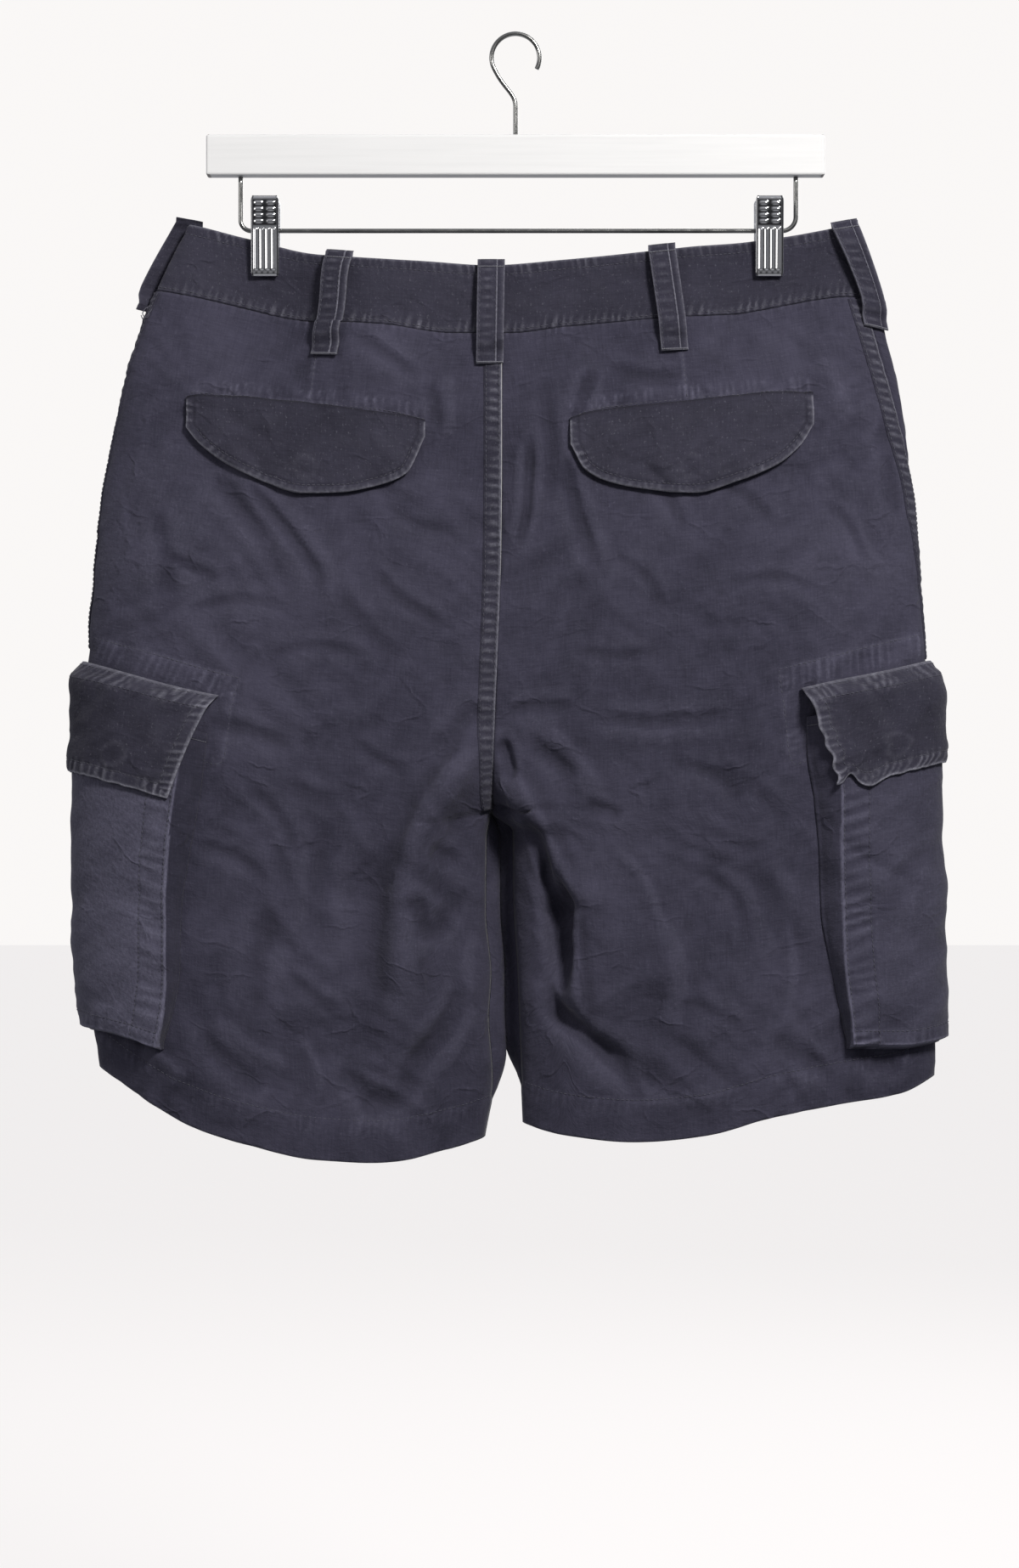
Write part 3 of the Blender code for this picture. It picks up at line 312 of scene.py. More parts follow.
def noise(x, y, seed):
    """Smooth noise from about -1 to 1, with features about one unit across."""
    random = np.random.default_rng(seed)
    angle = random.uniform(0.0, 2.0 * pi, (64, 64))
    column, row = np.floor(x).astype(int), np.floor(y).astype(int)
    fx, fy = x - column, y - row

    def corner(i, j):
        """The height that the slope at one corner of a place's square gives."""
        turn = angle[(column + i) % 64, (row + j) % 64]
        return np.cos(turn) * (fx - i) + np.sin(turn) * (fy - j)

    sx = fx ** 3 * (fx * (fx * 6.0 - 15.0) + 10.0)
    sy = fy ** 3 * (fy * (fy * 6.0 - 15.0) + 10.0)
    return 1.5 * blend(blend(corner(0, 0), corner(1, 0), sx), blend(corner(0, 1), corner(1, 1), sx), sy)


def wander(value, length, seed, row=0.0):
    """Noise along one line, with features about a length long."""
    return noise(value / length, value * 0.0 + row, seed)


def lengths(places, axis=1):
    """How far along its own row, or along axis 0 its own column, each point of a grid lies."""
    steps = np.linalg.norm(np.diff(places, axis=axis), axis=-1)
    return np.insert(np.cumsum(steps, axis=axis), 0, 0.0, axis=axis)


def smoothed(grid, reach):
    """A grid averaged over the rows and columns within reach."""
    for axis in (0, 1):
        margins = [(reach + 1, reach) if k == axis else (0, 0) for k in (0, 1)]
        sums = np.cumsum(np.pad(grid, margins, mode="edge"), axis=axis)
        ahead = np.split(sums, [2 * reach + 1], axis=axis)[1]
        behind = np.split(sums, [grid.shape[axis]], axis=axis)[0]
        grid = (ahead - behind) / (2 * reach + 1)
    return grid


def ridge_wear_and_trough_shade(height, amount):
    """Marks that a relief gives the colour: worn and lighter on its ridges, and less than none in its
    troughs, which darkens them as painted shade.
    """
    return amount * np.clip((height - smoothed(height, 4)) / (0.6 * MM), -1.0, 0.5)


def curve(points, steps=8):
    """A smooth path through points."""
    points = np.array(points, float)
    ends = np.vstack([2.0 * points[0] - points[1], points, 2.0 * points[-1] - points[-2]])
    path = []
    for i in range(1, len(ends) - 2):
        a, b, c, d = ends[i - 1:i + 3]
        for t in np.arange(steps) / steps:
            path.append(0.5 * (2.0 * b + (c - a) * t + (2.0 * a - 5.0 * b + 4.0 * c - d) * t ** 2
                               + (3.0 * b - a - 3.0 * c + d) * t ** 3))
    return np.array(path + [points[-1]])


def line_field(path, x, z, reach):
    """How far along a path each place is, and how far to the right of it (far away: 1 metre)."""
    s_best, d_best = np.zeros_like(x), np.ones_like(x)
    low, high = path.min(axis=0) - reach, path.max(axis=0) + reach
    near = (x > low[0]) & (x < high[0]) & (z > low[1]) & (z < high[1])
    px, pz = x[near], z[near]
    s, d = np.zeros_like(px), np.ones_like(px)
    length = 0.0
    for (ax, az), (bx, bz) in zip(path[:-1], path[1:]):
        run = np.hypot(bx - ax, bz - az)
        tx, tz = (bx - ax) / run, (bz - az) / run
        part = np.clip((px - ax) * tx + (pz - az) * tz, 0.0, run)
        away = np.hypot(px - ax - part * tx, pz - az - part * tz)
        signed = np.where((px - ax) * tz - (pz - az) * tx >= 0.0, away, -away)
        closer = away < np.abs(d)
        s = np.where(closer, length + part, s)
        d = np.where(closer, signed, d)
        length += run
    s_best[near], d_best[near] = s, d
    return s_best, d_best, length


# ---------------------------------------------------------------- the skin

def half_depth(x, below_top, loose):
    """Half the depth of the shorts, drawn in at the clips."""
    nearest = np.minimum(np.abs(x - CLIP_X[0]), np.abs(x - CLIP_X[1]))
    pinch = 1.0 - smoothstep((nearest - PINCH_FLAT) / PINCH_FADE)
    hold = 1.0 - smoothstep((below_top - PINCH_HOLD) / (PINCH_LOOSE - PINCH_HOLD))
    return blend(loose, PINCHED, pinch * hold)


def fold_relief(face, x, z):
    """How far the large folds raise the cloth."""
    relief = np.zeros_like(x)
    for row in range(len(FOLDS["face"])):
        fold_face, x0, z0, x1, z1, width, height = (FOLDS[name][row] for name in FOLDS)
        x0, z0, x1, z1 = x0 * MM, z0 * MM, x1 * MM, z1 * MM
        run = (x1 - x0) ** 2 + (z1 - z0) ** 2
        part = np.clip(((x - x0) * (x1 - x0) + (z - z0) * (z1 - z0)) / run, 0.0, 1.0)
        away = np.hypot(x - x0 - part * (x1 - x0), z - z0 - part * (z1 - z0))
        relief += np.where(face == fold_face, height * MM * peak(away, width * MM), 0.0)
    return relief


def edges(side, down):
    """X of a side's inner edge and of its outer fold."""
    centre, leg = along(SECTIONS, "centre", down), along(INNER_LEGS, side, down)
    return np.where(down <= CROTCH, centre, leg) * MM, along(SECTIONS, "outer_" + side, down) * MM


def turned_out(across, down):
    """How squarely the cloth faces the viewer: 0 where it turns round a fold, 1 on the face."""
    part = np.clip((down - SEAT_TURN) / (CROTCH - SEAT_TURN), 0.0, 1.0)
    seat = np.where(down >= CROTCH, 0.0, np.sqrt(1.0 - part * part))
    outer = np.sqrt(np.maximum(0.0, 1.0 - across ** FOLD_POWER))
    inner = np.sqrt(np.maximum(0.0, 1.0 - (1.0 - across) ** FOLD_POWER))
    return outer * blend(inner, 1.0, seat)


def hem_line(side, face, across):
    """Z of the hem."""
    back, front = along(HEM, side + "_back", across), along(HEM, side + "_front", across)
    return np.where(face == BACK, back, front) * MM


def waist_line(side, across):
    """Z of the waist seam."""
    x = blend(SECTIONS["centre"][0], SECTIONS["outer_" + side][0], across)
    return along(WAIST_SEAM, "seam", x) * MM


def face_and_across(turn):
    """The face that each turn is on, and its share of the way from the inner edge to the outer fold."""
    turn = np.clip(turn, 0.0, 2.0)
    return np.where(turn <= 1.0, BACK, FRONT), crowd(np.minimum(turn, 2.0 - turn))


def loop(side, turn, down):
    """Points round one side's skin: 0 to 1 is the back face and 1 to 2 the front face."""
    turn, down = np.broadcast_arrays(turn, down)
    face, across = face_and_across(turn)
    inner, outer = edges(side, down)
    x = blend(inner, outer, across)
    z = blend(waist_line(side, across), hem_line(side, face, across), down)
    out = turned_out(across, down)
    below_top = BAND_HEIGHT + down * BODY_LENGTH
    depth = half_depth(x, below_top, along(SECTIONS, "half_depth", down) * MM) * out
    depth = depth + fold_relief(face, x, z) * smoothstep(out / FOLD_EDGE_FADE - 1.0)
    near_inner = across / THIGH_ROLL[side] * np.exp(1.0 - across / THIGH_ROLL[side])
    roll = THIGH_OVERLAP * (along(THIGHS_MEET, "x", z / MM) * MM - x) * near_inner
    closing = smoothstep((down - CROTCH) / 0.006) * (1.0 - smoothstep((down - 0.90) / 0.10))
    x = x + np.where((face == FRONT) & (down > CROTCH), roll * closing, 0.0)
    return stack(x, face * depth, z)


def outward(side, turn, down):
    """The skin's outward directions, level with the neighbour's wherever two pieces meet."""
    turn, down = np.broadcast_arrays(turn, down)
    low, high = np.maximum(turn - TURN_STEP, 0.0), np.minimum(turn + TURN_STEP, 2.0)
    up, below = np.maximum(down - TURN_STEP, 0.0), np.minimum(down + TURN_STEP, 1.0)
    over = loop(side, high, down) - loop(side, low, down)
    fall = loop(side, turn, below) - loop(side, turn, up)
    normal = np.cross(over, fall) * (-1.0 if side == RIGHT else 1.0)
    inner = (turn < 1e-6) | (turn > 2.0 - 1e-6)
    normal[..., 0] = np.where(inner & (down < CROTCH), 0.0, normal[..., 0])
    normal[..., 1] = np.where(inner & (down > CROTCH), 0.0, normal[..., 1])
    normal = unit(normal)
    at_crotch = inner & (np.abs(down - CROTCH) < 1e-6)
    return np.where(at_crotch[..., None], np.array([0.0, 0.0, -1.0]), normal)


def side_seam_turn(side, down):
    """Where the side seam is, as a turn round the skin."""
    shift = along(SIDE_SEAM, side, down) * MM
    steps = np.arange(0, 61)
    turn = np.empty_like(shift)
    for i, amount in enumerate(shift):
        course = 1.0 + (-1.0 if amount > 0.0 else 1.0) * TURN_STEP * steps
        turn[i] = np.interp(abs(amount), lengths(loop(side, course, down[i]), 0), course)
    return turn


def on_panel(side, face, x, z):
    """The turn and the distance down of places on one face of a side."""
    down = np.full_like(x, 0.3)
    for _ in range(24):
        inner, outer = edges(side, down)
        across = np.clip((x - inner) / (outer - inner), 0.0, 1.0)
        top, hem = waist_line(side, across), hem_line(side, np.full_like(x, face), across)
        down = (z - top) / (hem - top)
    turn = uncrowd(across)
    return (turn if face == BACK else 2.0 - turn), down


# ---------------------------------------------------------------- the drape as heights

def crease_paths():
    """The creases of the back in metres, and most of them mirrored and shifted on the hidden front."""
    paths = []
    for places, left, right, height in CREASES:
        path = curve(places) * MM
        paths.append((BACK, path, left * MM, right * MM, height * MM))
        if min(z for _, z in places) < -300 or height > 0:
            mirrored = path * np.array([-1.0, 1.0]) + np.array([-6.0, -9.0]) * MM
            paths.append((FRONT, mirrored, right * MM, left * MM, 0.8 * height * MM))
    return paths


CREASE_PATHS = crease_paths()


def crease_relief(face, x, z):
    """How far the creases raise the cloth."""
    relief = np.zeros_like(x)
    for crease_face, path, left, right, height in CREASE_PATHS:
        s, d, length = line_field(path, x, z, 3.0 * max(left, right))
        flank = np.where(d > 0.0, right, left)
        ends = smoothstep(s / (0.3 * length)) * smoothstep((length - s) / (0.3 * length))
        relief += np.where(face == crease_face, 1.3 * height * ends * peak(d, flank), 0.0)
    return relief


def crumple(a, z, seed):
    """Small wrinkles over developed cloth, a across it and z down it."""
    warp_a = a + 0.012 * noise(a / 0.06, z / 0.06, seed)
    warp_z = z + 0.012 * noise(a / 0.06, z / 0.06, seed + 1)
    height = 1.5 * noise((warp_a + 0.4 * warp_z) / 0.055, warp_z / 0.050, seed + 2)
    for number, (lean, length, width, amount) in enumerate(WRINKLES):
        lengthways = cos(lean) * warp_a + sin(lean) * warp_z
        crossways = cos(lean) * warp_z - sin(lean) * warp_a
        ridge = 1.0 - 2.4 * np.abs(noise(lengthways / length, crossways / width, seed + 3 + 2 * number))
        where = smoothstep(0.45 + 1.1 * noise(a / 0.10, z / 0.10, seed + 4 + 2 * number))
        height = height + amount * ridge * where
    return height * MM


def puckers(s, d, width, seed):
    """Gathers along a stitched edge: s along it, d from the stitching into the doubled cloth."""
    phase = 2.0 * pi * s / PUCKER_PITCH + 3.4 * wander(s, 0.013, seed) + 220.0 * d
    strength = np.clip(0.40 + 0.75 * wander(s, 0.018, seed + 1, 5.0), 0.0, 1.0)
    inside = smoothstep(d / (1.2 * MM) + 0.5) * smoothstep((width - d) / (1.5 * MM) + 0.5)
    outside = 0.45 * peak(np.maximum(-d, 0.0), 2.6 * MM) * (d < 0.0)
    return np.cos(phase) * strength * np.maximum(inside, outside)


SEAM_PATHS = [(curve(path) * MM, width * MM, step * MM, gather) for _, path, width, step, gather in SEAMS]


def seam_relief(side, face, x, z, down, hem):
    """Heights and colour marks, worn places and painted shade, that the flat seams and the hem give a body
    panel.
    """
    height, wear_and_shade = np.zeros_like(x), np.zeros_like(x)
    if face == BACK:
        for number, (path, width, step, gather) in enumerate(SEAM_PATHS):
            s, d, length = line_field(path, x, z, 0.02)
            inside = d * np.sign(width)
            ends = smoothstep(s / (2.0 * MM)) * smoothstep((length - s) / (2.0 * MM)) * (np.abs(d) < 0.1)
            band = smoothstep(inside / MM + 0.5) * smoothstep((abs(width) - inside) / (2.0 * MM) + 0.5)
            gathers = puckers(s, inside, abs(width), 300 + number) * gather * ends
            groove = peak(d, 0.9 * MM) * ends
            height += band * step * ends + 0.38 * gathers * MM - 0.45 * groove * MM
            wear_and_shade += np.maximum(gathers, 0.0) * 0.85 + 0.25 * groove
    from_hem = z - hem
    above = from_hem - HEM_DEPTH
    gathers = puckers(x, -above, 9.0 * MM, 350 + face)
    height += 0.45 * MM * smoothstep(-above / MM + 0.5) + 0.25 * gathers * MM
    height -= 0.45 * MM * peak(above, 0.9 * MM)
    wear_and_shade += 0.3 * np.maximum(gathers, 0.0) + 0.5 * peak(from_hem, 1.2 * MM)
    seam_top = peak(down * BODY_LENGTH, 3.5 * MM)
    ticks = puckers(x, np.full_like(x, MM), 9.0 * MM, 360 + face)
    height += 0.35 * MM * ticks * seam_top
    # The puckers' crests are worn lighter and their troughs darker: painted shade.
    wear_and_shade += 0.40 * ticks * seam_top
    hips = smoothstep((np.abs(x) - 0.14) / 0.09) * peak(z, 0.10, -0.345)
    wear_and_shade += (0.20 if side == LEFT else 0.10) * hips * (0.7 + 0.6 * noise(x / 0.03, z / 0.03, 395))
    return height, wear_and_shade


def drape(side, turn, down):
    """Heights of the cloth's creases and wrinkles round a side's skin, without its seams."""
    turn, down = np.broadcast_arrays(np.clip(turn, 0.0, 2.0), down)
    face, across = face_and_across(turn)
    place = loop(side, turn, down)
    x, z = place[..., 0], place[..., 2]
    out = smoothstep(turned_out(across, down) / FOLD_EDGE_FADE - 1.0)
    developed = np.where(turn <= 1.0, across, 2.0 - across) * PANEL_WIDTH
    thigh = (face == FRONT) * smoothstep((down - CROTCH + 0.03) / 0.03)
    held = smoothstep((np.minimum(turn, 2.0 - turn) - 0.07 * thigh) / (0.05 + 0.03 * thigh))
    top_fade = 0.35 + 0.65 * smoothstep(down / 0.05)
    wrinkles = crumple(developed, z, 11 if side == LEFT else 41)
    return (crease_relief(face, x, z) * out + wrinkles * top_fade * blend(0.6, 1.0, out)) * held


def cloth_at(side, turn, down):
    """Points on the draped body cloth and its outward directions."""
    normal = outward(side, turn, down)
    return loop(side, turn, down) + normal * drape(side, turn, down)[..., None], normal


# ---------------------------------------------------------------- building meshes

def mesh_object(name, points, faces, material, smooth=True):
    """A mesh in the scene that rides on the body."""
    mesh = bpy.data.meshes.new(name)
    mesh.from_pydata(points.tolist(), [], faces)
    if smooth:
        mesh.shade_smooth()
    mesh.materials.append(material)
    thing = bpy.data.objects.new(name, mesh)
    bpy.context.scene.collection.objects.link(thing)
    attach(thing, "root")
    return thing


def grid_faces(rows, columns, start, flip):
    """Quads over a grid of points."""
    i, j = np.meshgrid(np.arange(rows - 1), np.arange(columns - 1), indexing="ij")
    a = (start + i * columns + j).ravel()
    quads = np.stack([a, a + 1, a + columns + 1, a + columns], axis=1)
    return quads[:, ::-1] if flip else quads


def shell(name, outer, inner, material, marks):
    """A closed sheet between two grids of points, with its cloth coordinates and its colour marks, worn
    places and painted shade, as attributes.
    """
    rows, columns = outer.shape[:2]
    i, j = rows // 2, columns // 2
    facing = np.cross(outer[i, j + 1] - outer[i, j], outer[i + 1, j] - outer[i, j])
    out = float(np.dot(facing, outer[i, j] - inner[i, j])) > 0.0
    count = rows * columns
    rim = list(range(columns)) + [k * columns + columns - 1 for k in range(1, rows)]
    rim += [(rows - 1) * columns + k for k in range(columns - 2, -1, -1)]
    rim = np.array(rim + [k * columns for k in range(rows - 2, 0, -1)])
    ahead = np.roll(rim, -1)
    sides = np.stack([ahead, rim, rim + count, ahead + count], axis=1)
    faces = [grid_faces(rows, columns, 0, not out), grid_faces(rows, columns, count, out)]
    faces.append(sides if out else sides[:, ::-1])
    points = np.concatenate([outer.reshape(-1, 3), inner.reshape(-1, 3)])
    thing = mesh_object(name, points, np.concatenate(faces).tolist(), material)
    u, v = lengths(outer, 1), lengths(outer, 0)
    u = u - u[:, columns // 2:columns // 2 + 1]
    cloth = np.concatenate([stack(u, v, 0.0).reshape(-1, 3)] * 2)
    mark_vertices(thing, "cloth", "FLOAT_VECTOR", cloth)
    wear_and_shade = np.clip(marks, -1.0, 1.0)
    mark_vertices(thing, "wear_and_shade", "FLOAT", np.concatenate([wear_and_shade.ravel(), 0.15 * wear_and_shade.ravel()]))
    return thing


def cloth_piece(name, outer, inner, material, wear_and_shade):
    """The cloth in place of the node of that name."""
    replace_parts(shell("cloth_" + name, outer, inner, material, wear_and_shade), name)


def mark_vertices(thing, name, kind, values):
    """Store a value at every vertex."""
    attribute = thing.data.attributes.new(name, kind, "POINT")
    field = "vector" if kind == "FLOAT_VECTOR" else "value"
    attribute.data.foreach_set(field, np.ascontiguousarray(values, np.float32).ravel())


def sample(grid, rows, columns):
    """A grid's points at fractional rows and columns."""
    rows = np.clip(rows, 0.0, grid.shape[0] - 1.001)
    columns = np.clip(columns, 0.0, grid.shape[1] - 1.001)
    i, j = rows.astype(int), columns.astype(int)
    fi, fj = (rows - i)[..., None], (columns - j)[..., None]
    return blend(blend(grid[i, j], grid[i, j + 1], fj), blend(grid[i + 1, j], grid[i + 1, j + 1], fj), fi)


class Stitching:
    """Rows of stitches gathered into one mesh."""

    def __init__(self, name):
        """No stitches yet."""
        self.name, self.points, self.faces = name, [], []

    def run(self, places, normals, pitch=3.1 * MM, length=2.3 * MM, radius=0.24 * MM, lift=0.12 * MM):
        """Stitches along a path of places."""
        distance = lengths(places, 0)
        count = int(distance[-1] / pitch)
        if count < 1:
            return
        starts = (np.arange(count) + 0.5) * distance[-1] / count - 0.5 * length

        def at(where):
            """Places and outward directions at distances along the path."""
            place = np.stack([np.interp(where, distance, places[:, k]) for k in range(3)], axis=1)
            up = unit(np.stack([np.interp(where, distance, normals[:, k]) for k in range(3)], axis=1))
            return place, up

        rings = []
        for share, rise, size in ((0.0, -0.25, 0.35), (0.22, 0.6, 1.0), (0.78, 0.6, 1.0), (1.0, -0.25, 0.35)):
            place, up = at(starts + share * length)
            ahead, _ = at(starts + share * length + 0.2 * MM)
            sideways = unit(np.cross(ahead - place, up))
            middle = place + up * (lift + rise * radius)
            for turn in (0.25, 0.75, 1.25, 1.75):
                rings.append(middle + radius * size * (cos(turn * pi) * sideways + sin(turn * pi) * up))
        rings = np.stack(rings, axis=1)
        base = sum(len(block) for block in self.points)
        quads = [(0, 3, 2, 1), (12, 13, 14, 15)]
        for ring in range(3):
            for k in range(4):
                corner, after = 4 * ring + k, 4 * ring + (k + 1) % 4
                quads.append((corner, after, after + 4, corner + 4))
        offsets = base + 16 * np.arange(count)
        self.faces.append((np.array(quads)[None] + offsets[:, None, None]).reshape(-1, 4))
        self.points.append(rings.reshape(-1, 3))

    def over(self, outer, normal, rows, columns, **size):
        """Stitches over a grid of points, along fractional rows and columns of it."""
        rows, columns = np.broadcast_arrays(np.asarray(rows, float), np.asarray(columns, float))
        self.run(sample(outer, rows, columns), sample(normal, rows, columns), **size)

    def finish(self, material, slot):
        """The stitches as one object."""
        points, faces = np.concatenate(self.points), np.concatenate(self.faces)
        mesh_object(self.name, points, faces.tolist(), material)


# ---------------------------------------------------------------- materials

def add(tree, kind, inputs=None, **settings):
    """A shader node with its settings and its inputs, each a value or another node's output."""
    made = tree.nodes.new("ShaderNode" + kind)
    for key, value in settings.items():
        setattr(made, key, value)
    for key, value in (inputs or {}).items():
        if isinstance(value, bpy.types.NodeSocket):
            tree.links.new(value, made.inputs[key])
        else:
            made.inputs[key].default_value = value
    return made


def new_material(name):
    """A material and its Principled shader."""
    material = bpy.data.materials.new(name)
    material.use_nodes = True
    return material, material.node_tree, material.node_tree.nodes["Principled BSDF"]


def mixed(tree, factor, first, second):
    """Two colours mixed."""
    made = tree.nodes.new("ShaderNodeMix")
    made.data_type = "RGBA"
    for key, value in ((0, factor), (6, first), (7, second)):
        if isinstance(value, bpy.types.NodeSocket):
            tree.links.new(value, made.inputs[key])
        else:
            made.inputs[key].default_value = value if key == 0 else (*value, 1.0)
    return made.outputs[2]


def ramped(tree, value, low, high, bottom=0.0, top=1.0):
    """A value stretched from low..high to bottom..top."""
    return add(tree, "MapRange", {0: value, 1: low, 2: high, 3: bottom, 4: top}).outputs[0]


def multiplied(tree, first, second):
    """Two values multiplied."""
    return add(tree, "Math", {0: first, 1: second}, operation="MULTIPLY").outputs[0]


def added(tree, first, second):
    """Two values added."""
    return add(tree, "Math", {0: first, 1: second}, operation="ADD").outputs[0]


def noise_node(tree, place, scale, detail=2.0, roughness=0.5):
    """Noise by place."""
    inputs = {"Vector": place, "Scale": scale, "Detail": detail, "Roughness": roughness}
    return add(tree, "TexNoise", inputs).outputs[0]


def cloth_noise(tree, cloth, scale, detail=2.0, roughness=0.5):
    """Noise over the cloth, with its own scale along each thread."""
    placed = add(tree, "Mapping", {"Vector": cloth, "Scale": scale}).outputs[0]
    return noise_node(tree, placed, 1.0, detail, roughness)


def bumped(tree, height, strength, distance, under=None):
    """The normal of a surface that a height raises, on top of another bump if there is one."""
    inputs = {"Strength": strength, "Distance": distance, "Height": height}
    if under is not None:
        inputs["Normal"] = under
    return add(tree, "Bump", inputs).outputs[0]


def canvas(name, deep, mid, worn):
    """Washed cotton canvas: slubs, weave, mottled dye, and where the mesh is marked, worn places lighter and
    painted shade darker.
    """
    material, tree, shader = new_material(name)
    cloth = add(tree, "Attribute", attribute_name="cloth").outputs["Vector"]
    wear_and_shade = add(tree, "Attribute", attribute_name="wear_and_shade").outputs["Fac"]
    place = add(tree, "TexCoord").outputs["Object"]
    patches = noise_node(tree, place, 9.0, 3.0, 0.55)
    clouds = noise_node(tree, place, 55.0, 4.0, 0.6)
    warp = cloth_noise(tree, cloth, (900.0, 75.0, 1.0))
    weft = cloth_noise(tree, cloth, (75.0, 900.0, 1.0))
    flecks = cloth_noise(tree, cloth, (620.0, 380.0, 1.0), 3.0, 0.65)
    tone = added(tree, multiplied(tree, ramped(tree, patches, 0.3, 0.7), 0.34),
                 multiplied(tree, ramped(tree, clouds, 0.3, 0.7), 0.26))
    threads = added(tree, multiplied(tree, warp, 0.42), multiplied(tree, weft, 0.36))
    tone = added(tree, tone, threads)
    colour = mixed(tree, ramped(tree, tone, 0.30, 0.88), deep, mid)
    broken = multiplied(tree, wear_and_shade, ramped(tree, flecks, 0.32, 0.62, 0.45, 1.0))
    colour = mixed(tree, multiplied(tree, broken, 0.85), colour, worn)
    # Marks below zero mix the colour towards a darker navy: painted shade in troughs, grooves and gussets.
    dark = tuple(0.35 * channel for channel in deep)
    colour = mixed(tree, multiplied(tree, wear_and_shade, -0.75), colour, dark)
    lint = multiplied(tree, ramped(tree, flecks, 0.60, 0.76), 0.22)
    colour = mixed(tree, lint, colour, worn)
    tree.links.new(colour, shader.inputs["Base Color"])
    tree.links.new(ramped(tree, clouds, 0.3, 0.7, 0.82, 0.94), shader.inputs["Roughness"])
    shader.inputs["Specular IOR Level"].default_value = 0.22
    shader.inputs["Sheen Weight"].default_value = 0.10
    shader.inputs["Sheen Roughness"].default_value = 0.45
    split = add(tree, "SeparateXYZ", {0: cloth})
    waves = []
    for axis in (0, 1):
        turns = multiplied(tree, split.outputs[axis], 2.0 * pi / (0.62 * MM))
        waves.append(add(tree, "Math", {0: turns}, operation="SINE").outputs[0])
    weave = multiplied(tree, waves[0], waves[1])
    grain = added(tree, multiplied(tree, weave, 0.05), multiplied(tree, threads, 0.5))
    bump = bumped(tree, grain, 0.5, 0.5 * MM)
    soft = cloth_noise(tree, cloth, (85.0, 120.0, 1.0), 5.0, 0.66)
    bump = bumped(tree, soft, 0.80, 1.5 * MM, bump)
    facets = add(tree, "Mapping", {"Vector": cloth, "Scale": (24.0, 33.0, 1.0)}).outputs[0]
    bent = add(tree, "TexNoise", {"Vector": facets, "Scale": 1.1, "Detail": 3.0}).outputs[1]
    facets = add(tree, "VectorMath", {0: facets, 1: bent}, operation="ADD").outputs[0]
    edge = add(tree, "TexVoronoi", {"Vector": facets, "Scale": 1.0}, feature="DISTANCE_TO_EDGE").outputs[0]
    parts = ramped(tree, cloth_noise(tree, cloth, (31.0, 27.0, 1.0)), 0.46, 0.66)
    pressed = multiplied(tree, ramped(tree, edge, 0.0, 0.06, 1.0, 0.0), parts)
    tree.links.new(bumped(tree, pressed, 0.7, 0.8 * MM, bump), shader.inputs["Normal"])
    return material


def plain(name, colour, roughness, metallic=0.0):
    """A material with a little colour and roughness variation."""
    material, tree, shader = new_material(name)
    place = add(tree, "TexCoord").outputs["Object"]
    grain = noise_node(tree, place, 160.0, 3.0)
    darker = tuple(0.86 * channel for channel in colour)
    tree.links.new(mixed(tree, ramped(tree, grain, 0.3, 0.7), darker, colour), shader.inputs["Base Color"])
    polish = ramped(tree, grain, 0.3, 0.7, 0.8 * roughness, 1.2 * roughness)
    tree.links.new(polish, shader.inputs["Roughness"])
    shader.inputs["Metallic"].default_value = metallic
    return material


def marked_chrome(name):
    """Bright plate, dull and dark in the grooves that the mesh marks: painted shade and painted dark
    reflection on a chrome plate.
    """
    material, tree, shader = new_material(name)
    groove = add(tree, "Attribute", attribute_name="groove").outputs["Fac"]
    place = add(tree, "TexCoord").outputs["Object"]
    smear = noise_node(tree, place, 420.0, 3.0)
    bright = mixed(tree, smear, (0.80, 0.80, 0.82), (0.90, 0.90, 0.91))
    # The marked places take a near-black colour: painted shade and painted reflection.
    tree.links.new(mixed(tree, groove, bright, (0.03, 0.03, 0.035)), shader.inputs["Base Color"])
    tree.links.new(ramped(tree, smear, 0.3, 0.7, 0.08, 0.16), shader.inputs["Roughness"])
    shader.inputs["Metallic"].default_value = 1.0
    return material


def painted_wood():
    """White paint over wood, brushed along the bar and chipped at its corners."""
    material, tree, shader = new_material("painted_bar")
    place = add(tree, "TexCoord").outputs["Object"]
    brushed = add(tree, "Mapping", {"Vector": place, "Scale": (14.0, 300.0, 420.0)}).outputs[0]
    strokes = noise_node(tree, brushed, 1.0, 4.0)
    specks = noise_node(tree, place, 130.0, 4.0, 0.7)
    low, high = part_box("hanger_bar")
    split = add(tree, "SeparateXYZ", {0: place})
    from_middle = add(tree, "Math", {0: split.outputs[0]}, operation="ABSOLUTE").outputs[0]
    at_end = ramped(tree, from_middle, high[0] - 0.006, high[0])
    middle_z, half_z = 0.5 * (low[2] + high[2]), 0.5 * (high[2] - low[2])
    lifted = add(tree, "Math", {0: split.outputs[2], 1: -middle_z}, operation="ADD").outputs[0]
    from_centre = add(tree, "Math", {0: lifted}, operation="ABSOLUTE").outputs[0]
    at_edge = ramped(tree, from_centre, half_z - 0.0016, half_z)
    exposed = added(tree, multiplied(tree, at_end, 0.55), multiplied(tree, at_edge, 0.42))
    chips = ramped(tree, added(tree, exposed, multiplied(tree, specks, 0.9)), 1.16, 1.22)
    paint = mixed(tree, strokes, (0.82, 0.82, 0.815), (0.90, 0.90, 0.895))
    paint = mixed(tree, multiplied(tree, at_edge, 0.25), paint, (0.45, 0.45, 0.46))
    tree.links.new(mixed(tree, chips, paint, (0.16, 0.14, 0.13)), shader.inputs["Base Color"])
    tree.links.new(ramped(tree, strokes, 0.3, 0.7, 0.30, 0.42), shader.inputs["Roughness"])
    tree.links.new(bumped(tree, strokes, 0.25, 0.2 * MM), shader.inputs["Normal"])
    return material


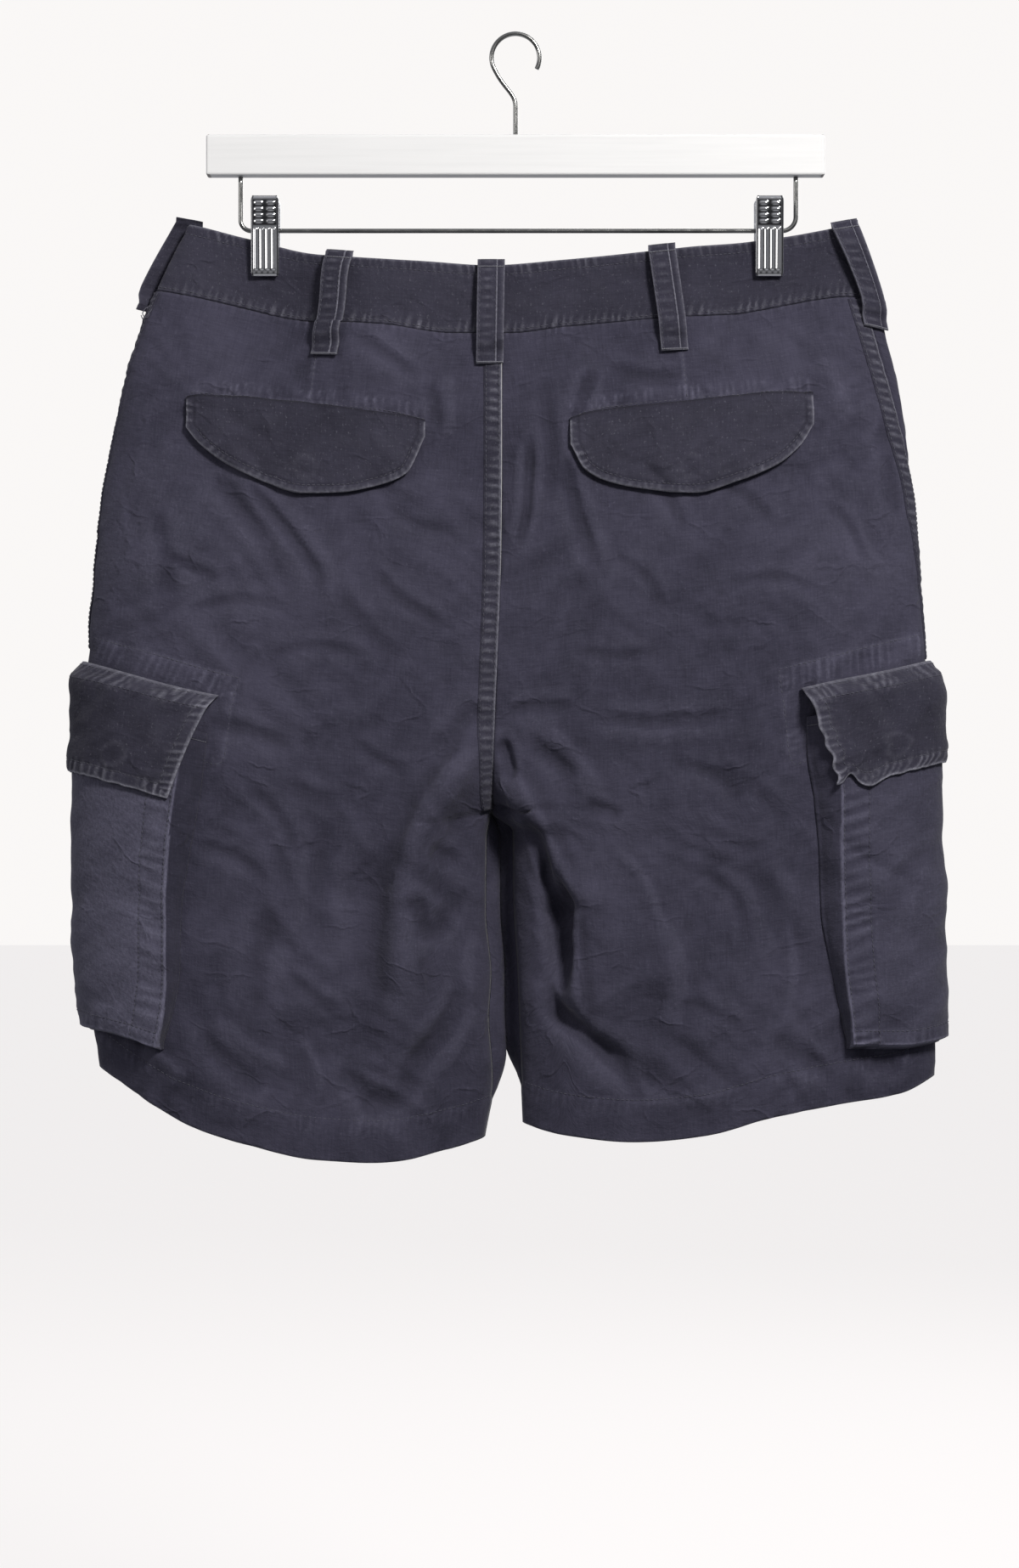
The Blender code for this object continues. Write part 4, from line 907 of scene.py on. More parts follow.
CANVAS = canvas("canvas", (0.021, 0.020, 0.035), (0.054, 0.051, 0.080), (0.165, 0.160, 0.225))
TRIM = canvas("canvas_trim", (0.018, 0.017, 0.029), (0.040, 0.038, 0.058), (0.330, 0.328, 0.390))
THREAD = plain("thread", (0.085, 0.084, 0.110), 0.75)
PALE_THREAD = plain("pale_thread", (0.20, 0.20, 0.23), 0.75)
HORN = plain("button_resin", (0.055, 0.050, 0.055), 0.30)
CHROME = plain("chrome", (0.78, 0.78, 0.80), 0.12, 1.0)
STEEL = plain("steel_wire", (0.33, 0.33, 0.32), 0.24, 1.0)
CLIP_PLATE = marked_chrome("clip_plate")


# ---------------------------------------------------------------- body panels and their seams

def row_share(count):
    """Distances down a panel, with one row on the crotch."""
    torso = round(count * CROTCH)
    return np.concatenate([np.linspace(0.0, CROTCH, torso), np.linspace(CROTCH, 1.0, count - torso)[1:]])


def panel_turns(side, face, downs, share):
    """The turns of a panel's columns, from its inner edge to the side seam."""
    seam = side_seam_turn(side, downs)
    reach = (seam if face == BACK else 2.0 - seam)[:, None]
    turn = share[None, :] * blend(1.0, reach, smoothstep((share[None, :] - 0.70) / 0.30))
    return turn if face == BACK else 2.0 - turn


def panel_surface(side, face, turn, down):
    """Points, directions and colour marks of a body panel's outer face, seams and all: worn places, and
    painted shade in the troughs of its folds and creases.
    """
    across = crowd(turn if face == BACK else 2.0 - turn)
    base = loop(side, turn, down)
    normal = outward(side, turn, down)
    hem = hem_line(side, np.full_like(across, face), across)
    relief, wear_and_shade = seam_relief(side, face, base[..., 0], base[..., 2], down, hem)
    folds = drape(side, turn, down)
    if base.ndim == 3:
        creases = crease_relief(np.where(turn <= 1.0, BACK, FRONT), base[..., 0], base[..., 2])
        # The troughs of the folds and creases are marked darker, painted shade; their ridges are worn
        # lighter.
        wear_and_shade = wear_and_shade + ridge_wear_and_trough_shade(folds, 0.06) + ridge_wear_and_trough_shade(creases, 0.22)
    return base + normal * (folds + relief)[..., None], normal, wear_and_shade


def body_panel(side, face, rows, columns):
    """One of the four body panels."""
    name = ("back_" if face == BACK else "front_") + side
    downs = row_share(rows)
    even = np.linspace(0.0, 1.0, columns)
    turn = panel_turns(side, face, downs, blend(even, uncrowd(even), 0.6))
    down = np.broadcast_to(downs[:, None], turn.shape)
    point, normal, wear_and_shade = panel_surface(side, face, turn, down)
    half = 0.5 * SEAM_GAP
    torso, leg = downs <= CROTCH + 1e-6, downs >= CROTCH - 1e-6
    point[torso, 0, 0] += half * (-1 if side == LEFT else 1)
    point[leg, 0, 1] += half * face
    point[:, -1] -= half * unit(point[:, -1] - point[:, -2])
    point[0, :, 2] -= half
    thickness = blend(WALL, HEM_WALL, smoothstep((down - HEM_START) / 0.004))
    cloth_piece(name, point, point - normal * thickness[..., None], CANVAS, wear_and_shade)


def turns_from(side, start, direction, downs, widths):
    """The turns that lie given widths along the cloth from a starting turn, row by row."""
    course = np.linspace(0.0, 0.30, 61)
    turn = start[:, None] + direction * course[None, :]
    length = lengths(loop(side, turn, downs[:, None]))
    return np.stack([np.interp(widths, length[i], turn[i]) for i in range(len(downs))])


# The doubled strip's width and height, and the shares of its width where its two seams are sewn
FELLED_WIDTH, FELLED_HEIGHT, FELLED_SEAMS = 11.5 * MM, 0.9 * MM, (0.14, 0.86)


def felled_band(name, side, start, direction, downs, stitching, seed):
    """A flat-felled seam: a doubled strip beside a seam line, sewn down along both its edges."""
    columns = 15
    share = 0.5 - 0.5 * np.cos(np.linspace(0.0, pi, columns))
    turn = turns_from(side, start, direction, downs, share * FELLED_WIDTH)
    base, normal = cloth_at(side, turn, np.broadcast_to(downs[:, None], turn.shape))
    s = lengths(base[:, 0], 0)[:, None]
    c = share[None, :]
    phase = 2.0 * pi * s / (6.2 * MM) + 2.2 * wander(s, 0.014, seed) + 2.0 * c
    patch = np.cos(phase) * (0.5 + 0.5 * noise(s / 0.03, c * 2.0, seed + 1))
    round_edges = (1.0 - np.abs(2.0 * c - 1.0) ** 8) ** 0.5
    sewn = sum(peak(c, 0.05, seam) for seam in FELLED_SEAMS)
    lift = FELLED_HEIGHT * round_edges + 0.42 * MM * patch * round_edges * np.sin(pi * c) - 0.22 * MM * sewn
    drift = 0.25 * MM * wander(s, 0.02, seed + 2)
    outer = base + normal * (lift + drift * round_edges)[..., None]
    inner = base - normal * (0.35 * MM)
    ridge = peak(c, 0.10) * (0.75 + 0.25 * noise(s / 0.006, c, seed + 3))
    wear_and_shade = 0.85 * ridge + 0.55 * np.maximum(patch, 0.0) * np.sin(pi * c)
    for seam in FELLED_SEAMS:
        stitching.over(outer, normal, np.arange(len(downs)), np.interp(seam, share, np.arange(columns)))
    return shell(name, outer, inner, TRIM, wear_and_shade)


def seam_stitches(stitching):
    """The stitches of the flat seams and the hems."""
    for path, *_ in SEAM_PATHS:
        side = LEFT if path[:, 0].mean() < 0.0 else RIGHT
        share, spots = np.linspace(0.0, 1.0, 90), np.linspace(0.0, 1.0, len(path))
        x, z = np.interp(share, spots, path[:, 0]), np.interp(share, spots, path[:, 1])
        turn, down = on_panel(side, BACK, x, z)
        point, normal, _ = panel_surface(side, BACK, turn, down)
        stitching.run(point, normal)
    for side in (LEFT, RIGHT):
        for face in (BACK, FRONT):
            turn = np.linspace(0.03, 0.97, 240)
            across = crowd(turn)
            hem = hem_line(side, np.full_like(across, face), across)
            waist = waist_line(side, across)
            down = (hem + HEM_DEPTH - waist) / (hem - waist)
            turn = turn if face == BACK else 2.0 - turn
            point, normal, _ = panel_surface(side, face, turn, down)
            stitching.run(point, normal)


# ---------------------------------------------------------------- waistband and belt loops

# The waistband's seams, above the waist seam and below the top edge
BAND_LOW_SEAM, BAND_TOP_SEAM = 2.4 * MM, 6.2 * MM


def band_point(side, turn, up):
    """Points on the waistband's outer face: up is 0 at the waist seam and 1 at the top edge."""
    turn, up = np.broadcast_arrays(turn, up)
    face, across = face_and_across(turn)
    centre, outer = SECTIONS["centre"][0], SECTIONS["outer_" + side][0]
    low_x = blend(centre, outer, across)
    high_x = blend(centre, BAND_TOP["x"][0 if side == LEFT else -1], across)
    x = blend(low_x, high_x, up) * MM
    z = blend(along(WAIST_SEAM, "seam", low_x), along(BAND_TOP, "top", high_x), up) * MM
    loose = blend(SECTIONS["half_depth"][0] * MM, BAND_TOP_DEPTH, up)
    rounded = np.sqrt(np.maximum(0.0, 1.0 - across ** FOLD_POWER))
    return stack(x, face * half_depth(x, BAND_HEIGHT * (1.0 - up), loose) * rounded, z)


def band_outward(side, turn, up):
    """The waistband's outward directions."""
    low, high = np.maximum(turn - TURN_STEP, 0.0), np.minimum(turn + TURN_STEP, 2.0)
    over = band_point(side, high, up) - band_point(side, low, up)
    fall = band_point(side, turn, 0.0 * up) - band_point(side, turn, 0.0 * up + 1.0)
    return unit(np.cross(over, fall) * (-1.0 if side == RIGHT else 1.0))


def band_detail(x, up, seed):
    """Heights and colour marks of the waistband: gathers along both its stitched edges and soft wrinkles,
    worn lighter on their crests, with painted shade in their troughs.
    """
    rise = up * BAND_HEIGHT
    soft = 0.55 * noise(x / 0.040, rise / 0.022 + 3.0, seed)
    soft = soft + 0.30 * noise(x / 0.016 + rise / 0.02, rise / 0.012, seed + 1)
    soft = soft * np.sin(pi * np.clip(up, 0.0, 1.0)) ** 0.5
    from_top = (1.0 - up) * BAND_HEIGHT
    top = puckers(x, BAND_TOP_SEAM - from_top, 6.4 * MM, seed + 2)
    top_groove = peak(from_top, 0.8 * MM, BAND_TOP_SEAM)
    low = puckers(x, 6.0 * MM - rise, 6.2 * MM, seed + 4)
    low_groove = peak(rise, 0.8 * MM, BAND_LOW_SEAM)
    height = soft * MM + 0.42 * top * MM + 0.48 * low * MM - 0.35 * MM * (top_groove + low_groove)
    height = height - 0.7 * MM * peak(from_top, 0.9 * MM)
    # The gathers' crests are worn lighter and their troughs darker: painted shade.
    wear_and_shade = 0.32 * top + 0.36 * low
    wear_and_shade += 0.45 * peak(from_top, 0.9 * MM) + 0.22 * low_groove
    return height, wear_and_shade + ridge_wear_and_trough_shade(soft * MM, 0.06)


def band(name, spots, stitching, seed):
    """A stretch of waistband through arrays of (side, turns, lift)."""
    ups = np.concatenate([np.linspace(0.0, 0.8, 22), np.linspace(0.8, 1.0, 11)[1:]])
    outer, inner, wear_and_shade, normals = [], [], [], []
    for side, turn, lift in spots:
        turn, up = np.broadcast_arrays(turn[None, :], ups[:, None])
        point, normal = band_point(side, turn, up), band_outward(side, turn, up)
        point[0, :, 2] += 0.5 * SEAM_GAP
        height, worn = band_detail(point[..., 0], up, seed)
        outer.append(point + normal * (lift[None, :] + height)[..., None])
        inner.append(point + normal * (lift[None, :] + np.minimum(height, 0.0) - BAND_WALL)[..., None])
        wear_and_shade.append(worn)
        normals.append(normal)
    outer, inner = np.concatenate(outer, axis=1), np.concatenate(inner, axis=1)
    normals, wear_and_shade = np.concatenate(normals, axis=1), np.concatenate(wear_and_shade, axis=1)
    cloth_piece(name, outer, inner, TRIM, wear_and_shade)
    for rise in (BAND_LOW_SEAM, BAND_HEIGHT - BAND_TOP_SEAM):
        row = np.interp(rise / BAND_HEIGHT, ups, np.arange(len(ups)))
        stitching.over(outer, normals, row, np.arange(outer.shape[1]))


def waistband(stitching):
    """The back and the two front pieces, joined under the side loops."""
    share = np.linspace(0.0, 1.0, 150)
    share = blend(share, uncrowd(share), 0.7)

    def turns(side, face):
        """The columns of one side's face, the last one just past the side seam."""
        row = panel_turns(side, face, np.zeros(1), share)[0]
        row[-1] += face * 0.0012
        return row

    flat = np.zeros(len(share))
    left_half = (LEFT, turns(LEFT, BACK)[:0:-1], flat[1:])
    band("waistband_back", [left_half, (RIGHT, turns(RIGHT, BACK), flat)], stitching, 70)
    left = turns(LEFT, FRONT)[::-1]
    x = band_point(LEFT, left, 0.5)[:, 0]
    lift = OVERLAP_LIFT * smoothstep((x - OVERLAP_RISE) / OVERLAP_RUN)
    over = turns(RIGHT, FRONT)
    over = over[(over > 1.87) & (over < 2.0)]
    overlap = (RIGHT, over, np.full(len(over), OVERLAP_LIFT))
    band("waistband_front_left", [(LEFT, left, lift), overlap], stitching, 80)
    band("waistband_front_right", [(RIGHT, turns(RIGHT, FRONT)[::-1], flat)], stitching, 90)


# Name, side, turns of the foot and the head, how far the foot hangs below the waist seam and how far the
# loop stands off in mm, and how many degrees its foot and its head are swung
BELT_LOOPS = (
    ("back_left", LEFT, 0.494, 0.506, 21.0, 5.2, 0, 0),
    ("back_centre", LEFT, 0.120, 0.120, 20.0, 5.2, 0, 0),
    ("back_right", RIGHT, 0.470, 0.470, 21.5, 5.2, 0, 0),
    ("side_right", RIGHT, 0.884, 0.855, 19.0, 5.2, 0, 0),
    ("side_left", LEFT, 1.020, 1.020, 14.0, 6.5, -14, -38),
    ("front_left", LEFT, 1.560, 1.560, 18.0, 5.2, 0, 0),
    ("front_right", RIGHT, 1.560, 1.560, 18.0, 5.2, 0, 0),
)
LOOP_WIDTH, LOOP_HEAD = 17.6 * MM, 3.6 * MM
# Where a loop's columns lie over its width: closest at its edges and at the fold under its narrow side
LOOP_COLUMNS = np.array([-0.5, -0.485, -0.45, -0.40, -0.34, -0.27, -0.20, -0.12, -0.04, 0.04, 0.12,
                         0.18, 0.205, 0.225, 0.245, 0.265, 0.30, 0.35, 0.41, 0.455, 0.485, 0.5])
# The shares of a loop's width where its two seams are sewn, and how far it stands off on its way up
LOOP_SEAMS = (0.19, -0.40)
LOOP_COURSE = table(
    "up off",
    (-1.00, 0.0), (-0.72, 0.0), (-0.30, 0.85), (0.15, 1.0), (0.60, 1.0), (0.88, 0.75), (1.00, 0.30),
    (1.08, 0.10),
)


def belt_loop(number, name, side, foot_turn, head_turn, foot_drop, slack, foot_swing, head_swing,
              stitching, tacks):
    """A folded strip sewn down below the waist seam and at the band's top edge."""
    ups = np.concatenate([np.linspace(-1.0, 0.0, 24), np.linspace(0.0, 1.08, 54)[1:]])
    mirrored = name == "side_left" or name.startswith("front")
    right = -1.0 if (side == LEFT) != mirrored else 1.0
    shares = np.sort(LOOP_COLUMNS * right)

    def behind(turn, up):
        """The body below the waist seam, and the band above it."""
        low = cloth_at(side, turn, np.maximum(-up, 0.0) * foot_drop * MM / BODY_LENGTH)[0]
        high = band_point(side, turn, np.clip(up, 0.0, 1.0))
        return np.where((up < 0.0)[..., None], low, high)

    turn = blend(foot_turn, head_turn, smoothstep(ups))
    base = behind(turn, ups)
    sideways = behind(turn + 0.01, ups) - behind(turn - 0.01, ups)
    spread = np.linalg.norm(sideways, axis=1)
    below = outward(side, turn, np.maximum(-ups, 0.0) * foot_drop * MM / BODY_LENGTH)
    normal = np.where((ups < 0.0)[:, None], below, band_outward(side, turn, np.full_like(ups, 0.5)))
    angle = np.radians(blend(foot_swing, head_swing, smoothstep(ups)))

    def swung(vectors):
        """Directions swung about the vertical."""
        x, y, z = vectors.T
        return stack(x * np.cos(angle) - y * np.sin(angle), x * np.sin(angle) + y * np.cos(angle), z)

    sideways, normal = swung(unit(sideways)), swung(normal)
    off = blend(LAY_GAP, slack * MM, along(LOOP_COURSE, "off", ups)) + LOOP_WALL
    reach = shares[None, :] * LOOP_WIDTH
    spots = turn[:, None] + reach * (0.02 / spread)[:, None]
    cloth = behind(spots, np.broadcast_to(ups[:, None], spots.shape))
    clear = np.maximum(0.0, np.einsum("ijk,ik->ij", cloth - base[:, None], normal))
    c = shares[None, :] * right
    s = np.linspace(0.0, 72.0 * MM, len(ups))[:, None]
    seed = 400 + 10 * number
    phase = 2.0 * pi * s / (6.4 * MM) + 2.4 * wander(s, 0.012, seed)
    lumps = np.cos(phase) * (0.6 + 0.4 * noise(s / 0.02, c * 3.0, seed + 1))
    wide_part = smoothstep((0.235 - c) / 0.03)
    between = peak(c, 0.20, -0.12) * wide_part
    edge = 1.0 - np.abs(2.0 * shares[None, :]) ** 10
    height = 0.55 * MM * wide_part + 0.22 * MM * lumps * between - 0.5 * MM * (1.0 - edge) - 0.15 * MM
    height = height - 0.22 * MM * sum(peak(c, 0.03, seam) for seam in LOOP_SEAMS)
    height = height + 0.35 * MM * noise(s / 0.03, c * 1.2, seed + 2)
    head = np.array([0.0, 0.0, 1.0]) * (LOOP_HEAD * np.maximum(0.0, ups - 1.0) / 0.08)[:, None]
    over = smoothstep((ups - 1.035) / 0.045) * 2.2 * MM
    middle = (base + head)[:, None] + sideways[:, None] * reach[..., None]
    outer = middle + normal[:, None] * (off[:, None] + clear + height - over[:, None])[..., None]
    inner = middle + normal[:, None] * (off[:, None] + clear - LOOP_WALL - 0.4 * over[:, None])[..., None]
    step = peak(c, 0.022, 0.225)
    # The troughs between the lumps and a line just past the fold's step are marked darker, painted shade; the
    # step and the edges are worn lighter.
    wear_and_shade = 0.90 * step * (0.8 + 0.2 * noise(s / 0.005, c, seed + 3)) + 0.25 * lumps * between
    wear_and_shade += 0.50 * (1.0 - edge) - 0.5 * peak(c, 0.02, 0.265) + 0.9 * peak(ups[:, None], 0.03, -1.0)
    cloth_piece("belt_loop_" + name, outer, inner, TRIM, wear_and_shade)
    direction = np.broadcast_to(normal[:, None], outer.shape)
    for seam in LOOP_SEAMS:
        column = np.interp(seam * right, shares, np.arange(len(shares)))
        stitching.over(outer, direction, np.arange(len(ups)), column, length=2.0 * MM)
    columns = np.linspace(1.0, len(shares) - 2.0, 30)
    for row in (0.8, len(ups) - 7.0):
        tacks.over(outer, direction, row, columns, pitch=1.0 * MM, length=1.15 * MM, radius=0.36 * MM)


# ---------------------------------------------------------------- back pocket flaps

LEFT_FLAP = table(
    "x top bottom",
    (-211, -236, -256), (-203, -235, -266), (-186, -236, -279), (-160, -238, -292), (-137, -240, -299),
    (-110, -243, -298), (-86, -246, -293), (-70, -248, -286), (-58, -251, -262),
)
RIGHT_FLAP = table(
    "x top bottom",
    (35, -250, -268), (43, -247, -283), (58, -244, -291), (84, -241, -296), (115, -238, -298.5),
    (142, -235, -291), (166, -233.5, -281), (182, -233, -268), (191, -233, -254),
)


BACK_FLAP_SEAM = 5.0 * MM


def back_flap(name, side, outline, stitching, seed):
    """A flap on a back panel, sewn down along its top edge and topstitched round its free edge."""
    rows, columns = 44, 110
    share = np.linspace(0.0, 1.0, columns)
    share = share - 0.6 * np.sin(2.0 * pi * share) / (2.0 * pi)
    fall = np.linspace(0.0, 1.0, rows)
    fall = fall + 0.5 * np.sin(pi * fall) ** 2 * (fall - fall ** 2)
    x = np.broadcast_to(blend(outline["x"][0], outline["x"][-1], share)[None, :], (rows, columns))
    z = blend(along(outline, "top", x), along(outline, "bottom", x), fall[:, None])
    x, z = x * MM, z * MM
    edge_x = blend(outline["x"][0], outline["x"][-1], np.linspace(0.0, 1.0, 120))
    rim = np.stack([edge_x, along(outline, "bottom", edge_x)], axis=1)
    rim = np.vstack([[outline["x"][0], outline["top"][0]], rim, [outline["x"][-1], outline["top"][-1]]]) * MM
    s, d, _ = line_field(rim, x, z, 0.2)
    inset = np.abs(d)
    turn, down = on_panel(side, BACK, x.ravel(), z.ravel())
    turn, down = turn.reshape(x.shape), down.reshape(x.shape)
    base, normal = cloth_at(side, turn, down)
    drop = fall[:, None]
    lift = LAY_GAP + 1.6 * MM * smoothstep(drop * 1.5)
    gathers = puckers(s, 5.2 * MM - inset, 5.4 * MM, seed)
    groove = peak(inset, 0.75 * MM, BACK_FLAP_SEAM)
    middle_x, button_z = x.mean(), rim[:, 1].min() + 17.0 * MM
    bump = peak(np.hypot(x - middle_x, z - button_z), 1.7 * MM, 7.0 * MM)
    waves = 0.9 * noise(x / 0.034, z / 0.030, seed + 2) + 0.45 * noise(x / 0.014, z / 0.016, seed + 3)
    rolled = peak(inset, 1.0 * MM)
    bow = 0.9 * wander(s, 0.045, seed + 4) * peak(inset, 9.0 * MM)
    height = waves * MM * smoothstep(drop * 3.0) + 0.40 * gathers * MM - 0.50 * groove * MM + 0.20 * bump * MM
    height = height - 0.6 * rolled * MM + (0.4 + bow) * MM * drop
    outer = base + normal * (lift + FLAP_WALL + height)[..., None]
    inner = base + normal * (lift + np.minimum(height, 0.0) * 0.3)[..., None]
    wear_and_shade = 0.60 * rolled + 0.30 * np.maximum(gathers, 0.0) + 0.03 * bump
    # The stitched groove is marked darker, painted shade, and a line along the top edge much darker, a
    # painted shadow where the flap folds down.
    wear_and_shade = wear_and_shade * smoothstep(drop * 6.0) - 0.25 * groove
    from_top = drop * (along(outline, "top", x / MM) - along(outline, "bottom", x / MM)) * MM
    wear_and_shade = wear_and_shade - 1.1 * peak(from_top, 1.1 * MM)
    wear_and_shade = wear_and_shade + ridge_wear_and_trough_shade(height, 0.06)
    cloth_piece(name, outer, inner, TRIM, wear_and_shade)
    spots = []
    for rim_x, rim_z in rim[3:-3:2]:
        distance = np.hypot(x - rim_x, z - rim_z) + 10.0 * np.abs(inset - BACK_FLAP_SEAM)
        spots.append(np.unravel_index(np.argmin(distance), distance.shape))
    at_rows, at_columns = np.array(spots).T
    path, away = outer[at_rows, at_columns], normal[at_rows, at_columns]
    keep = np.append(True, np.linalg.norm(np.diff(path, axis=0), axis=1) > 0.2 * MM)
    stitching.run(path[keep], away[keep])


# ---------------------------------------------------------------- cargo pockets and their flaps

# Side, the front edge's turn at the top and at the foot, and how far down lie the mouth and the foot at
# the edges and at the fold
CARGO_POCKETS = (
    (LEFT, 1.43, 1.38, 0.515, 0.917, 0.952),
    (RIGHT, 1.42, 1.38, 0.515, 0.932, 0.956),
)
POCKET_EDGE_SEAM, POCKET_FOOT_SEAM = 17.0 * MM, 12.0 * MM
POCKET_HEIGHT, POCKET_BULGE, POCKET_GAP, POCKET_FOOT = 5.6 * MM, 0.75, 1.6 * MM, 0.016
GUSSET = table("inset off", (0.00, 0.0), (0.03, 0.10), (0.07, 0.75), (0.11, 1.0))
# X of a pocket's inner edge on the leg, and of the ridge where its gusset meets its face
POCKET_EDGES = {
    LEFT: table("z edge ridge", (-646, -224, -225.5), (-626, -219, -223), (-594, -214, -221),
                (-557, -213, -221.5), (-521, -208, -220), (-485, -202, -216), (-444, -197, -209)),
    RIGHT: table("z edge ridge", (-646, 211, 213), (-637, 209, 212.6), (-600, 202, 209.5),
                 (-561, 195, 207.3), (-527, 194, 206), (-491, 191, 206), (-457, 186, 200),
                 (-441, 186, 198)),
}


def pocket_rise(turn):
    """How far a cargo pocket's face stands off the leg."""
    return POCKET_HEIGHT * (1.0 + POCKET_BULGE * smoothstep(np.abs(turn - 1.0) / 0.28))


def turn_at(side, column, down):
    """The turn on the back face where one of a pocket's lines lies."""
    z = blend(waist_line(side, 0.82), hem_line(side, BACK, 0.82), down)
    inner, outer = edges(side, down)
    return uncrowd((along(POCKET_EDGES[side], column, z / MM) * MM - inner) / (outer - inner))


def cargo_pocket(side, top_front, foot_front, top, edge_foot, fold_foot, stitching, pale):
    """Face and gusset: a shell over the leg, open at its mouth."""
    share = np.concatenate([np.linspace(0.0, 0.965, 90), np.linspace(0.965, 1.0, 17)[1:]])
    low = blend(top, edge_foot, share)
    first, ridge = turn_at(side, "edge", low)[:, None], turn_at(side, "ridge", low)[:, None]
    last = blend(top_front, foot_front, share)[:, None]
    parts = [blend(first, ridge, np.linspace(0.0, 1.0, 14)[None, :]),
             ridge + np.linspace(0.0, 0.065, 26)[None, 1:]]
    parts.append(blend(parts[1][:, -1:], last - 0.11, np.linspace(0.0, 1.0, 62)[None, 1:]))
    parts.append(last - np.linspace(0.11, 0.0, 16)[None, 1:])
    turn = np.concatenate(parts, axis=1)
    off = np.where(turn < ridge, smoothstep((turn - first) / (ridge - first)) ** 0.8,
                   along(GUSSET, "off", np.maximum(last - turn, 0.0)))
    near_fold = np.sin(pi * (turn - first) / (last - first))
    down = blend(top, blend(edge_foot, fold_foot, near_fold), share[:, None])
    base, normal = cloth_at(side, turn, down)
    foot = smoothstep((1.0 - share) / POCKET_FOOT * 0.9)[:, None]
    over = lengths(base)
    past_ridge = over - over[:, 13:14]
    z = base[..., 2]
    above_foot = (1.0 - share[:, None]) * (edge_foot - top) * BODY_LENGTH
    seed = 500 if side == LEFT else 520
    ladder = puckers(z * 0.62, POCKET_EDGE_SEAM - past_ridge, POCKET_EDGE_SEAM, seed)
    ladder = ladder * (0.8 if side == LEFT else 1.0) * (past_ridge > -0.5 * MM)
    ladder = ladder * peak(np.maximum(past_ridge - POCKET_EDGE_SEAM, 0.0), 0.003)
    stitch_foot = peak(above_foot, 0.8 * MM, POCKET_FOOT_SEAM)
    stitch_band = peak(past_ridge, 0.8 * MM, POCKET_EDGE_SEAM)
    foot_gathers = puckers(over, POCKET_FOOT_SEAM - above_foot, POCKET_FOOT_SEAM, seed + 2)
    ridge_line = peak(past_ridge, 1.1 * MM)
    slant = 1.0 if side == LEFT else -1.0
    waves = noise((z + slant * over) / 0.036, (over - slant * 0.6 * z) / 0.075, seed + 4)
    sharp = 1.0 - 2.0 * np.abs(noise((z + 0.8 * slant * over) / 0.026, over / 0.060, seed + 5))
    under_flap = smoothstep((share[:, None] - 0.30) / 0.12)
    height = (1.6 * waves + 1.0 * sharp * under_flap) * MM * smoothstep(past_ridge / 0.012) * foot
    height = height * (0.25 + 0.75 * under_flap) + 0.85 * ladder * MM + 0.45 * foot_gathers * foot * MM
    height = height - 0.4 * MM * (stitch_foot + stitch_band) + 0.9 * MM * ridge_line * off
    height = height * smoothstep((last - turn) / 0.03)
    rise = blend(0.2 * MM, POCKET_GAP, smoothstep(off * 3.0)) + pocket_rise(turn) * off * foot
    outer = base + normal * (rise + WALL + height)[..., None]
    inner = base + normal * (rise + np.minimum(height, 0.0))[..., None]
    mouth = peak(share[:, None], 0.018)
    wear_and_shade = 0.85 * ridge_line * (0.7 + 0.3 * noise(z / 0.007, over, seed + 6))
    # The ladder puckers' troughs are marked darker: painted shade.
    wear_and_shade += 0.45 * np.maximum(ladder, 0.0) - 0.30 * np.maximum(-ladder, 0.0)
    wear_and_shade += 0.18 * stitch_foot + 0.25 * np.maximum(foot_gathers, 0.0) * foot + 0.8 * mouth
    # The whole face is made lighter, the left pocket's much more than the right's.
    wear_and_shade += 0.9 * peak(above_foot, 1.3 * MM, 3.0 * MM) + (0.46 if side == LEFT else 0.12)
    # The gusset is marked darker, the left one more, as painted shade.
    wear_and_shade = np.where(past_ridge < -1.0 * MM, -0.35 if side == LEFT else -0.1, wear_and_shade) + ridge_wear_and_trough_shade(height, 0.10)
    cloth_piece("cargo_pocket_" + side, outer, inner, CANVAS, wear_and_shade)
    rows, places = np.arange(len(share)), np.arange(turn.shape[1])
    for inset in (1.6 * MM, POCKET_EDGE_SEAM):
        columns = [np.interp(inset, past_ridge[row], places) for row in rows]
        stitching.over(outer, normal, rows, columns)
    foot_row = np.interp(POCKET_FOOT_SEAM, above_foot[::-1, 0], rows[::-1])
    stitching.over(outer, normal, foot_row, places[14:-16])
    pale.over(outer, normal, 2.5, places[:14], pitch=1.2 * MM, length=1.1 * MM)


# Side, the turns of the flap's back and front edges and how far they taper in, and how far down lie its
# sewn and its free edge, each at its ends and at the fold
CARGO_FLAPS = (
    (LEFT, 0.595, 1.44, 0.070, 0.466, 0.479, 0.607, 0.620),
    (RIGHT, 0.615, 1.43, 0.131, 0.478, 0.464, 0.606, 0.596),
)
CARGO_FLAP_PROFILE = table(
    "down off", (0.00, 0.0), (0.07, 0.5), (0.14, 1.0), (0.42, 1.0), (0.72, 1.0), (1.00, 1.04),
)
FLAP_OVER_POCKET, FLAP_SEAM, FLAP_TOP_SEAM = 0.8 * MM, 8.0 * MM, 10.0 * MM


